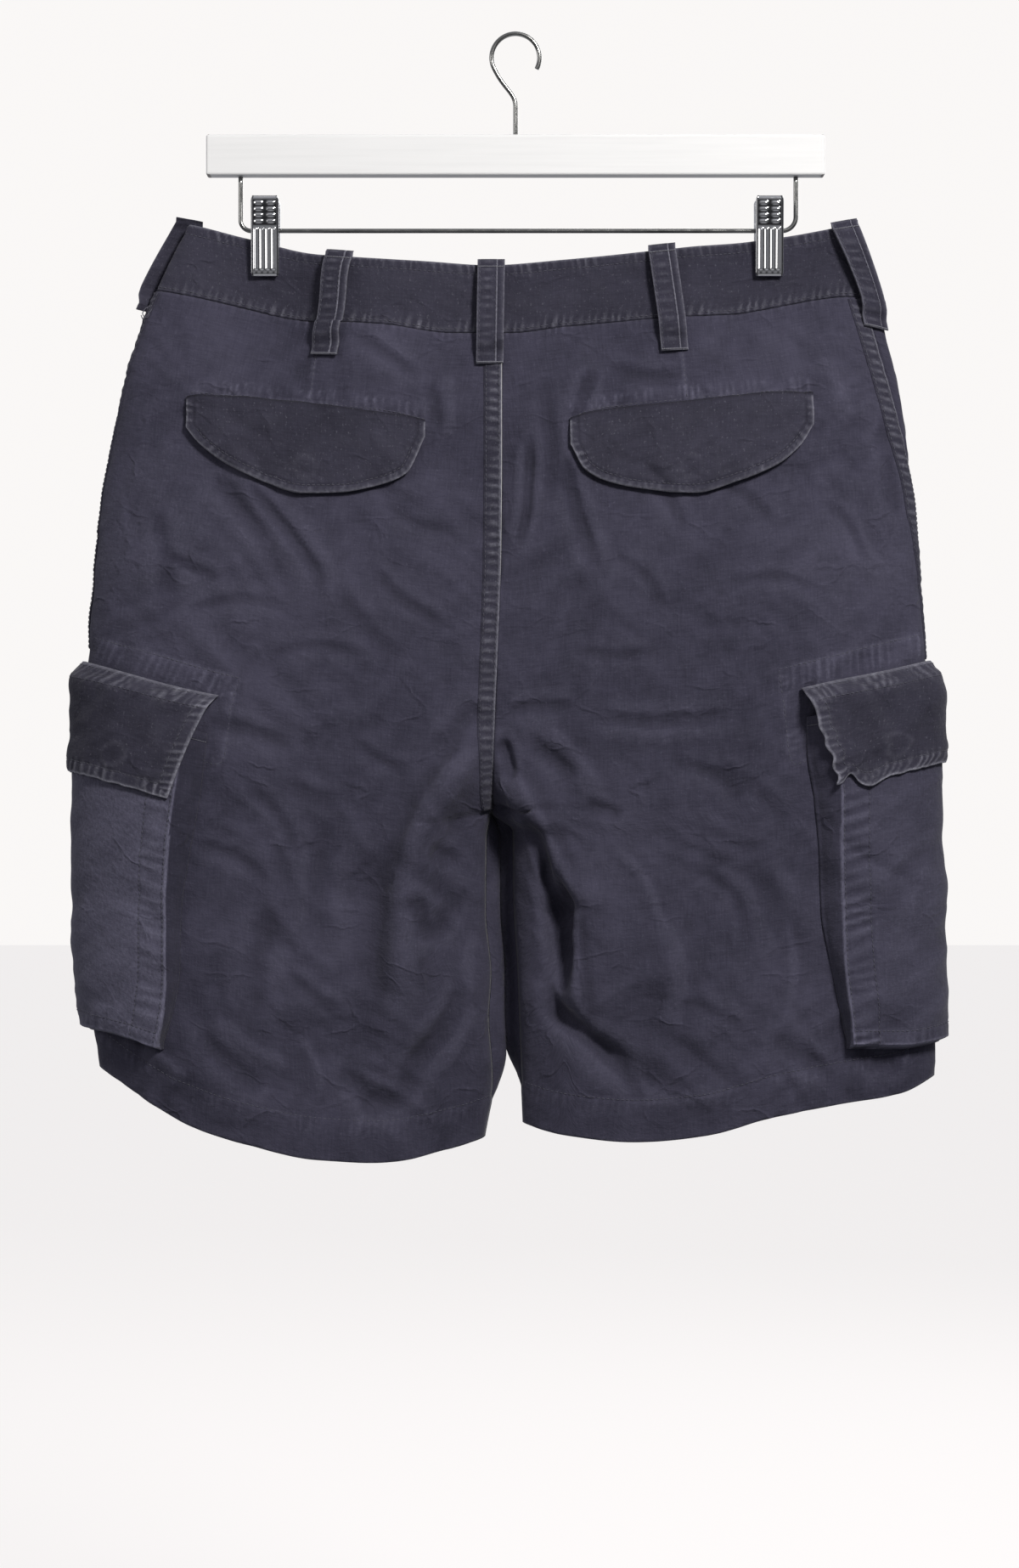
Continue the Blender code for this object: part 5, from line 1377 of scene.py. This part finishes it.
def cargo_flap(side, back_turn, front_turn, taper, seam_edge, seam_fold, free_edge, free_fold, stitching):
    """A flap over the pocket's mouth, sewn on above it."""
    fall = np.concatenate([np.linspace(0.0, 0.85, 48), np.linspace(0.85, 1.0, 15)[1:]])[:, None]
    share = np.concatenate([np.linspace(0.0, 0.06, 17), np.linspace(0.06, 0.94, 92)[1:-1],
                            np.linspace(0.94, 1.0, 12)])[None, :]
    seed = 560 if side == LEFT else 580
    curl = 0.0 if side == LEFT else 1.0
    drift = 0.012 * curl * wander(fall, 0.16, seed + 7) * fall * (1.0 - share) ** 6
    first, last = back_turn + blend(taper, 0.047, curl) * fall ** 0.85, front_turn - taper * fall
    turn = blend(first, last, share) + drift
    near_fold = np.sin(pi * share)
    ripple = 0.002 * wander(share, 0.05, seed + 8) * fall ** 4
    dips = 0.010 * peak(share, 0.03, 0.085) - 0.012 * peak(share, 0.018, 0.035)
    sewn_edge, free_edge = blend(seam_edge, seam_fold, near_fold), blend(free_edge, free_fold, near_fold)
    down = blend(sewn_edge, free_edge, fall) + ripple + curl * fall ** 3 * dips
    base, normal = cloth_at(side, turn, down)
    over = lengths(base)
    from_side = np.minimum(over, over[:, -1:] - over)
    length = (free_edge - sewn_edge) * BODY_LENGTH
    from_top, from_foot = fall * length, (1.0 - fall) * length
    inset = np.minimum(from_foot, from_side)
    round_edge = np.where(from_side < from_foot, from_top, over)
    edge_gathers = puckers(round_edge, FLAP_SEAM - inset, 8.2 * MM, seed)
    top_gathers = puckers(over, FLAP_TOP_SEAM - from_top, FLAP_TOP_SEAM, seed + 1)
    lines = peak(inset, 0.8 * MM, FLAP_SEAM) + peak(from_top, 0.8 * MM, FLAP_TOP_SEAM)
    rolled = peak(inset, 1.1 * MM)
    button_over = 41.0 * MM if side == LEFT else 44.0 * MM
    imprint = peak(np.hypot(over - button_over, from_foot - 19.0 * MM), 1.6 * MM, 7.6 * MM)
    waves = 1.1 * noise(over / 0.035, from_top / 0.030, seed + 2)
    waves = waves + 0.6 * noise(over / 0.014, from_top / 0.018, seed + 3)
    fade = smoothstep(fall / 0.12)
    lifted = 2.6 * MM * curl * peak(over, 9.0 * MM) * smoothstep(fall / 0.2)
    lifted = lifted * (1.0 + 0.7 * wander(fall, 0.13, seed + 5))
    height = waves * MM * fade + 0.42 * edge_gathers * MM * fade + 0.42 * top_gathers * MM - 0.42 * lines * MM
    height = height - 0.6 * rolled * MM * fade + 0.3 * imprint * MM + lifted
    profile = along(CARGO_FLAP_PROFILE, "off", np.broadcast_to(fall, turn.shape))
    rise = POCKET_GAP + (pocket_rise(turn) + WALL + FLAP_OVER_POCKET) * profile
    outer = base + normal * (rise + FLAP_WALL + height)[..., None]
    inner = base + normal * (rise + np.minimum(height, 0.0) * 0.5 + 0.6 * lifted)[..., None]
    wear_and_shade = (1.3 * rolled + 0.5 * np.maximum(edge_gathers, 0.0)) * fade + 0.5 * np.maximum(top_gathers, 0.0)
    wear_and_shade += ridge_wear_and_trough_shade(height, 0.06) + 0.05 * imprint + 0.10 * lines + 0.45 * peak(from_top, 1.6 * MM)
    cloth_piece("cargo_flap_" + side, outer, inner, TRIM, wear_and_shade)
    columns, places = np.arange(3, turn.shape[1] - 3), np.arange(len(fall))
    for below in (FLAP_TOP_SEAM, 1.8 * MM):
        rows = [np.interp(below, from_top[:, column], places) for column in columns]
        stitching.over(outer, normal, rows, columns)
    foot = np.array([np.interp(FLAP_SEAM, from_foot[::-1, column], places[::-1]) for column in columns])
    inside = sample(from_side[..., None], foot, columns)[:, 0] > FLAP_SEAM
    stitching.over(outer, normal, foot[inside], columns[inside])
    rows = np.arange(10, np.interp(FLAP_SEAM, from_foot[::-1, 20], places[::-1])).astype(int)
    edge = [np.interp(FLAP_SEAM, over[row], np.arange(turn.shape[1])) for row in rows]
    stitching.over(outer, normal, rows, edge)


# ---------------------------------------------------------------- the hidden front: fly and button

FLY_WIDTH, FLY_FOOT, FLY_TOP, FLY_CURVE = 38.0 * MM, -352.0 * MM, -196.5 * MM, 42.0 * MM


def fly(stitching):
    """The placket over the front opening: straight, then curved in to the centre seam."""
    z = np.linspace(FLY_TOP, FLY_FOOT, 90)
    part = np.maximum(0.0, (FLY_FOOT + FLY_CURVE - z) / FLY_CURVE)
    width = FLY_WIDTH * np.maximum(0.30, np.sqrt(np.maximum(0.0, 1.0 - part * part)))
    _, level = on_panel(LEFT, FRONT, np.full_like(z, -0.02), z)
    inner_edge, _ = edges(LEFT, level)
    share = np.linspace(0.0, 1.0, 34)
    x = inner_edge[:, None] - 0.4 * MM - width[:, None] * share[None, :]
    height = np.broadcast_to(z[:, None], x.shape)
    turn, down = on_panel(LEFT, FRONT, x.ravel(), height.ravel())
    base, normal = cloth_at(LEFT, turn.reshape(x.shape), down.reshape(x.shape))
    from_edge = width[:, None] * (1.0 - share[None, :])
    relief = 0.25 * MM * puckers(height, 6.0 * MM - from_edge, 6.0 * MM, 610)
    relief = relief - 0.5 * MM * peak(from_edge, 0.9 * MM)
    outer = base + normal * (LAY_GAP + FLAP_WALL + relief)[..., None]
    wear_and_shade = 0.5 * peak(from_edge, 1.2 * MM)
    cloth_piece("fly", outer, base + normal * LAY_GAP, TRIM, wear_and_shade)
    for inset in (2.0 * MM, 7.0 * MM):
        columns = np.interp(1.0 - inset / width, share, np.arange(len(share)))
        stitching.over(outer, normal, np.arange(len(z)), columns)


def ring_faces(rings, around, flip=False):
    """Faces round a row of rings of points, with a cap at each end."""
    faces = []
    for ring in range(rings - 1):
        for k in range(around):
            here, after = ring * around + k, ring * around + (k + 1) % around
            faces.append((here, here + around, after + around, after))
    faces.append(tuple(range(around)))
    faces.append(tuple(range(rings * around - 1, (rings - 1) * around - 1, -1)))
    return [face[::-1] for face in faces] if flip else faces


def lathe(name, profile, centre, material, steps=48):
    """A turned piece about the Y axis through a centre, from a closed profile of (radius, y)."""
    angle = np.linspace(0.0, 2.0 * pi, steps, endpoint=False)
    radius, level = np.array(profile).T
    points = stack(centre[0] + radius[:, None] * np.cos(angle), centre[1] + level[:, None] + 0.0 * angle,
                   centre[2] + radius[:, None] * np.sin(angle))
    return mesh_object(name, points.reshape(-1, 3), ring_faces(len(profile), steps, True), material)


def waist_button():
    """The button: a raised rim round a dish, sewn on with crossed threads."""
    low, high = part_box("waist_button")
    centre = 0.5 * (low + high)
    depth = high.y - low.y
    profile = ((6.8, 0.0), (7.9, 0.3), (8.5, 1.2), (8.4, 2.2), (7.7, 2.9), (6.8, 2.9), (6.1, 2.2),
               (4.0, 1.9), (0.4, 1.9))
    profile = [(radius * MM, level * depth / 3.0) for radius, level in profile]
    thing = lathe("button_waist", profile, (centre.x, low.y, centre.z), HORN)
    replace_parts(thing, "waist_button")
    threads = Stitching("button_thread")
    dish = low.y + 1.9 * MM
    for swing in (45.0, 135.0):
        reach = np.array([cos(radians(swing)), 0.0, sin(radians(swing))]) * 2.2 * MM
        middle = np.array([centre.x, dish, centre.z])
        threads.run(np.array([middle - reach, middle, middle + reach]), np.array([[0.0, 1.0, 0.0]] * 3),
                    pitch=4.4 * MM, length=4.2 * MM, radius=0.5 * MM, lift=0.3 * MM)
    threads.finish(PALE_THREAD, "button")


# ---------------------------------------------------------------- the hanger

WIRE_RADIUS, HOOK_RADIUS = 1.5 * MM, 15.5 * MM
BAR_TOP, BAR_BOTTOM = -64.6 * MM, -91.0 * MM
RUN_Z, RUN_LEFT, RUN_RIGHT = -126.2 * MM, -178.0 * MM, 181.5 * MM
CLIP_WIDTH, CLIP_TOP, CLIP_BOTTOM = 18.0 * MM, -104.8 * MM, -156.5 * MM
CLIP_SHEET, CLIP_LIP_DEPTH, CLIP_TAB_DEPTH = 1.0 * MM, 5.0 * MM, 8.5 * MM


def tube(name, path, radius, material, sides=20, level=(0.0, 1.0, 0.0)):
    """A round wire along a path that never runs along the level direction, with closed ends."""
    path = np.array(path, float)
    ahead = unit(np.gradient(path, axis=0))
    across = unit(np.cross(ahead, np.array(level)))
    up = np.cross(across, ahead)
    angle = np.linspace(0.0, 2.0 * pi, sides, endpoint=False)[None, :, None]
    rings = path[:, None] + radius * (np.cos(angle) * across[:, None] + np.sin(angle) * up[:, None])
    return mesh_object(name, rings.reshape(-1, 3), ring_faces(len(path), sides), material)


def arc(centre, radius, start, end, steps):
    """Points round an arc in the XZ plane, by degrees."""
    angle = np.radians(np.linspace(start, end, steps))
    return stack(centre[0] + radius * np.cos(angle), 0.0 * angle, centre[1] + radius * np.sin(angle))


def hanger_hook():
    """The hook: a crown, a leaning neck and a straight stem into the bar."""
    crown = arc((0.0, WIRE_RADIUS - HOOK_RADIUS), HOOK_RADIUS, -28.0, 205.0, 90)
    neck, stem = crown[-1], np.array([0.0, 0.0, -46.0 * MM])
    leaving = np.array([-sin(radians(205.0)), 0.0, cos(radians(205.0))])
    reach = 0.55 * np.linalg.norm(stem - neck)
    first, second = neck + leaving * reach, stem + np.array([0.0, 0.0, 0.6 * reach])
    part = np.linspace(0.0, 1.0, 40)[1:, None]
    rest = 1.0 - part
    bend = rest ** 3 * neck + 3 * rest ** 2 * part * first + 3 * rest * part ** 2 * second + part ** 3 * stem
    foot = np.linspace(stem, np.array([0.0, 0.0, BAR_TOP + SEAM_GAP]), 12)[1:]
    path = np.concatenate([crown, bend, foot])
    thing = tube("steel_hook", path, WIRE_RADIUS, STEEL)
    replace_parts(thing, "hanger_hook")


def hanger_wire():
    """The lower wire: down from the bar, along under it and up again."""
    top = BAR_BOTTOM - SEAM_GAP
    left = arc((RUN_LEFT + 7.0 * MM, RUN_Z + 7.0 * MM), 7.0 * MM, 180.0, 270.0, 16)
    right = arc((RUN_RIGHT - 9.0 * MM, RUN_Z + 9.0 * MM), 9.0 * MM, 270.0, 360.0, 16)
    down = np.linspace(np.array([RUN_LEFT, 0.0, top]), left[0], 8)[:-1]
    across = np.linspace(left[-1], right[0], 60)[1:-1]
    up = np.linspace(right[-1], np.array([RUN_RIGHT, 0.0, top]), 8)[1:]
    thing = tube("steel_run", np.concatenate([down, left, across, right, up]), WIRE_RADIUS, STEEL)
    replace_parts(thing, "hanger_wire")


def clip_jaw(name, x, face):
    """A stamped jaw: a tray with grip bumps on its tab and flutes on its lower half."""
    rows, columns = 112, 44
    # the columns lie closer together towards both edges
    a = np.linspace(-1.0, 1.0, columns)
    a = np.sin(0.5 * pi * a) * 0.35 + 0.65 * a
    fall = np.linspace(0.0, 1.0, rows)[:, None]
    a = np.broadcast_to(a[None, :], (rows, columns))
    fall = np.broadcast_to(fall, (rows, columns))
    half = 0.5 * CLIP_WIDTH * (1.0 - 0.10 * peak(fall, 0.03) - 0.05 * peak(fall, 0.03, 1.0))
    cloth = PINCHED + SEAM_GAP
    stand = blend(cloth + CLIP_TAB_DEPTH, cloth + CLIP_LIP_DEPTH, fall)
    mm_x, mm_z = a * half / MM, fall * (CLIP_TOP - CLIP_BOTTOM) / MM
    relief = smoothstep((np.abs(a) * 9.0 - 7.6) / 0.8) * 0.35
    upper = smoothstep((mm_z - 2.2) / 0.6) * smoothstep((19.4 - mm_z) / 0.6) * (np.abs(mm_x) < 7.6)
    lumps = np.zeros_like(a)
    for column_x in (-3.9, 3.9):
        for row_z in (4.8, 8.8, 12.7, 16.6):
            lumps += np.exp(-(((mm_x - column_x) / 2.6) ** 4 + ((mm_z - row_z) / 1.25) ** 4))
    relief += 0.75 * lumps
    # groove marks where the plate is painted near black, as painted shade and painted dark reflection: the
    # flat of the tab between its bumps, lines between the flutes, dots below them, a line across above them
    # and a strip inside the rim.
    groove = 0.9 * upper * np.maximum(0.0, 1.0 - 1.4 * lumps)
    lower = smoothstep((mm_z - 20.6) / 0.8) * smoothstep((48.0 - mm_z) / 0.9)
    for flute in (-5.6, -1.9, 1.9, 5.6):
        relief += 0.9 * lower * np.maximum(0.0, 1.0 - ((mm_x - flute) / 1.65) ** 2)
    for line in (-3.75, 0.0, 3.75):
        groove = np.maximum(groove, lower * peak(mm_x, 0.35, line))
    for dot in (-5.6, -1.9, 1.9, 5.6):
        groove = np.maximum(groove, peak(mm_x, 0.7, dot) * peak(mm_z, 0.6, 49.3))
    groove = np.maximum(groove, 0.8 * peak(mm_z, 0.4, 21.2) * (np.abs(mm_x) < 7.6))
    by_rim = smoothstep((np.abs(a) - 0.84) / 0.05) * smoothstep((0.97 - np.abs(a)) / 0.03)
    groove = np.maximum(groove, 0.9 * by_rim)
    edge = np.maximum(np.abs(a) ** 12, np.maximum(peak(mm_z, 0.8), peak(mm_z, 0.8, 51.7)))
    relief = (relief - 0.9) * MM - 1.1 * MM * edge
    points = stack(x + a * half, face * (stand + relief), blend(CLIP_TOP, CLIP_BOTTOM, fall))
    inner_z = blend(CLIP_TOP - 0.4 * MM, CLIP_BOTTOM + 0.4 * MM, fall)
    inner = stack(x + a * (half - 0.35 * MM), face * (stand + relief - 0.7 * MM), inner_z)
    walls = clip_walls(name, x, face, half[rows // 2, 0], stand[:, 0], fall[:, 0])
    thing = shell("stamped_" + name, points, inner, CLIP_PLATE, np.zeros_like(a))
    marks = np.concatenate([np.clip(groove, 0.0, 1.0).ravel(), np.zeros(a.size)])
    mark_vertices(thing, "groove", "FLOAT", marks)
    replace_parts(thing, name)
    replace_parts(walls, name)


def clip_walls(name, x, face, half, stand, fall):
    """The jaw's side walls, its foot and its top wall: the rim of a thin tray."""
    cloth, deep = face * (PINCHED + SEAM_GAP), face * (stand - 1.4 * MM)
    z = blend(CLIP_TOP, CLIP_BOTTOM, fall)
    points, faces = [], []

    def slab(corners, thickness):
        """A plate: four corners, and the same four set off by its thickness."""
        base = len(points)
        points.extend(np.array(corner) for corner in corners)
        points.extend(np.array(corner) + thickness for corner in corners)
        for quad in ((0, 1, 2, 3), (7, 6, 5, 4), (0, 4, 5, 1), (1, 5, 6, 2), (2, 6, 7, 3), (3, 7, 4, 0)):
            faces.append(tuple(base + corner for corner in quad))

    low, high = 8, len(z) - 5
    for side in (-1.0, 1.0):
        at = x + side * (half - 0.05 * MM)
        above = ((at, cloth, z[low]), (at, deep[low], z[low]))
        below = ((at, deep[high], z[high]), (at, cloth, z[high]))
        slab(above + below, np.array([-side * 0.7 * MM, 0.0, 0.0]))
    left, right = x - half + 0.3 * MM, x + half - 0.3 * MM
    for row, turn in ((high, 1.0), (low, -1.0)):
        level, edge = z[row], deep[row]
        corners = ((left, cloth, level), (right, cloth, level), (right, edge, level), (left, edge, level))
        slab(corners, np.array([0.0, 0.0, turn * 0.7 * MM]))
    return mesh_object("walls_" + name, np.array(points), faces, CHROME, smooth=False)


def thread_ends():
    """Two loose ends of thread at the foot of the left side loop."""
    ends = (
        ((-235.0, -4.0, -175.0), (-239.0, -5.0, -177.0), (-241.0, -5.0, -180.5), (-238.5, -5.0, -183.0),
         (-236.5, -4.5, -180.5)),
        ((-234.5, -4.0, -176.5), (-237.5, -5.5, -181.0), (-240.5, -5.5, -184.0), (-242.0, -5.0, -181.5)),
    )
    for number, places in enumerate(ends):
        tube("thread_end_%d" % (number + 1), curve(places) * MM, 0.32 * MM, THREAD, sides=6)


def clip_spring(name, x):
    """The spring coiled round the wire, between the two jaws."""
    turns = 11
    t = np.linspace(0.0, 1.0, turns * 20)
    length = CLIP_WIDTH - 2.6 * CLIP_SHEET
    angle, radius = 2.0 * pi * turns * t, 2.08 * MM
    path = stack(x + length * (t - 0.5), radius * np.cos(angle), RUN_Z + radius * np.sin(angle))
    thing = tube("coil_" + name, path, 0.24 * MM, CHROME, sides=6, level=(1.0, 0.0, 0.0))
    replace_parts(thing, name)


# ---------------------------------------------------------------- the whole, and what each cloth is cut to

body_thread, trim_thread = Stitching("stitches_body"), Stitching("stitches_trim")
pale_thread = Stitching("stitches_tacks")

for side in (LEFT, RIGHT):
    body_panel(side, BACK, 232, 166)
    body_panel(side, FRONT, 140, 96)
seam_stitches(body_thread)
centre_downs, side_downs = np.linspace(0.003, 0.592, 270), np.linspace(0.003, 0.462, 210)
centre_seam = felled_band("felled_centre", LEFT, np.zeros(270), 1.0, centre_downs, body_thread, 620)
felled = {"back_left": [centre_seam], "back_right": []}
for side, seed in ((LEFT, 630), (RIGHT, 640)):
    start = side_seam_turn(side, side_downs)
    start = np.where(start > 0.998, np.minimum(start, 1.06), start)
    strip = felled_band("felled_side_" + side, side, start, -1.0, side_downs, body_thread, seed)
    felled["back_" + side].append(strip)
waistband(trim_thread)
for number, row in enumerate(BELT_LOOPS):
    belt_loop(number, *row, trim_thread, pale_thread)
back_flap("back_flap_left", LEFT, LEFT_FLAP, trim_thread, 660)
back_flap("back_flap_right", RIGHT, RIGHT_FLAP, trim_thread, 680)
for row in CARGO_POCKETS:
    cargo_pocket(*row, trim_thread, pale_thread)
for row in CARGO_FLAPS:
    cargo_flap(*row, trim_thread)
fly(trim_thread)
thread_ends()
waist_button()
body_thread.finish(THREAD, "canvas")
trim_thread.finish(THREAD, "canvas_trim")
pale_thread.finish(PALE_THREAD, "canvas_trim")

hanger_hook()
hanger_wire()
for side, x in zip((LEFT, RIGHT), CLIP_X):
    clip_jaw("clip_jaw_back_" + side, x, BACK)
    clip_jaw("clip_jaw_front_" + side, x, FRONT)
    clip_spring("clip_spring_" + side, x)

# Each cloth piece, the flat cut of what shows of it (width, length, area), and what it hangs from
CUTS = (
    ("back_left", 0.325, 0.547, 0.1550, "waistband_back"),
    ("back_right", 0.338, 0.545, 0.1550, "waistband_back"),
    ("front_left", 0.312, 0.537, 0.1450, "waistband_front_left"),
    ("front_right", 0.319, 0.532, 0.1510, "waistband_front_right"),
    ("waistband_back", 0.482, 0.046, 0.0214, "clip_jaw_back_left"),
    ("waistband_front_left", 0.233, 0.046, 0.0103, "clip_jaw_front_left"),
    ("waistband_front_right", 0.267, 0.046, 0.0121, "clip_jaw_front_right"),
    ("back_flap_left", 0.187, 0.062, 0.0078, "back_left"),
    ("back_flap_right", 0.187, 0.063, 0.0083, "back_right"),
    ("cargo_pocket_left", 0.244, 0.230, 0.0474, "back_left"),
    ("cargo_pocket_right", 0.241, 0.231, 0.0496, "back_right"),
    ("cargo_flap_left", 0.245, 0.083, 0.0166, "back_left"),
    ("cargo_flap_right", 0.239, 0.088, 0.0154, "back_right"),
    ("fly", 0.041, 0.168, 0.0060, "front_left"),
)
for name, width, length, area, hangs_from in CUTS:
    strips = felled.get(name, ())
    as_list(strips)
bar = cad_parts["hanger_bar"]
bar.data.materials.clear()
bar.data.materials.append(painted_wood())

# ---------------------------------------------------------------- the room, the light and the camera

def stage_material(name, colour, glow):
    """A pale surface that also gives off a little light."""
    material, _, shader = new_material(name)
    shader.inputs["Base Color"].default_value = (*colour, 1.0)
    shader.inputs["Roughness"].default_value = 0.9
    shader.inputs["Emission Color"].default_value = (*colour, 1.0)
    shader.inputs["Emission Strength"].default_value = glow
    return material


bpy.ops.mesh.primitive_plane_add(size=30.0, location=(0.0, 0.0, -1.30))
floor = bpy.context.object
floor.data.materials.append(stage_material("floor", (0.25, 0.2437, 0.2415), 2.98))
floor.visible_diffuse = False
floor.visible_glossy = False

world = bpy.data.worlds.new("room")
bpy.context.scene.world = world
world.use_nodes = True
sky = world.node_tree
background = sky.nodes["Background"]
direction = add(sky, "TexCoord").outputs["Generated"]
axes = add(sky, "SeparateXYZ", {0: direction})
from_wall = ramped(sky, axes.outputs[1], -0.2, 0.9, 0.05, 0.34)
from_above = ramped(sky, axes.outputs[2], -0.4, 0.8, 0.0, 0.34)
from_below = ramped(sky, axes.outputs[2], -0.35, -0.9, 0.0, 0.30)
glow = added(sky, added(sky, from_wall, from_above), from_below)
seen = add(sky, "LightPath").outputs["Is Camera Ray"]
sky.links.new(mixed(sky, seen, (0.93, 0.94, 1.0), (0.955, 0.935, 0.925)), background.inputs["Color"])
unseen_glow = multiplied(sky, glow, ramped(sky, seen, 0.0, 1.0, 1.0, 0.0))
sky.links.new(added(sky, unseen_glow, seen), background.inputs["Strength"])


def area_light(name, place, target, width, power, colour=(1.0, 0.98, 0.96)):
    """A soft square light that looks at a target."""
    light = bpy.data.lights.new(name, "AREA")
    light.size = width
    light.energy = power
    light.color = colour
    thing = bpy.data.objects.new(name, light)
    bpy.context.scene.collection.objects.link(thing)
    thing.location = place
    aim = np.array(target) - np.array(place)
    thing.rotation_euler = Vector(aim).to_track_quat("-Z", "Y").to_euler()


area_light("key", (0.95, -1.75, 0.90), (0.0, 0.0, -0.45), 0.45, 49.5)
area_light("fill", (-1.95, -1.15, 0.25), (-0.05, 0.0, -0.45), 0.90, 8.0)
area_light("front_fill", (0.8, 2.4, 0.9), (0.0, 0.0, -0.42), 1.4, 26.0)

# How far the camera stands off, and the height that the picture shows there
DISTANCE, SHOWN_HEIGHT = 2.2, 1.0153
view = bpy.data.cameras.new("photo")
view.lens = view.sensor_width * DISTANCE / SHOWN_HEIGHT
camera = bpy.data.objects.new("photo", view)
bpy.context.scene.collection.objects.link(camera)
camera.location = (-3.9 * MM, -DISTANCE, -484.3 * MM)
camera.rotation_euler = (radians(90.0), 0.0, 0.0)
bpy.context.scene.camera = camera
bpy.context.scene.view_settings.view_transform = "Standard"
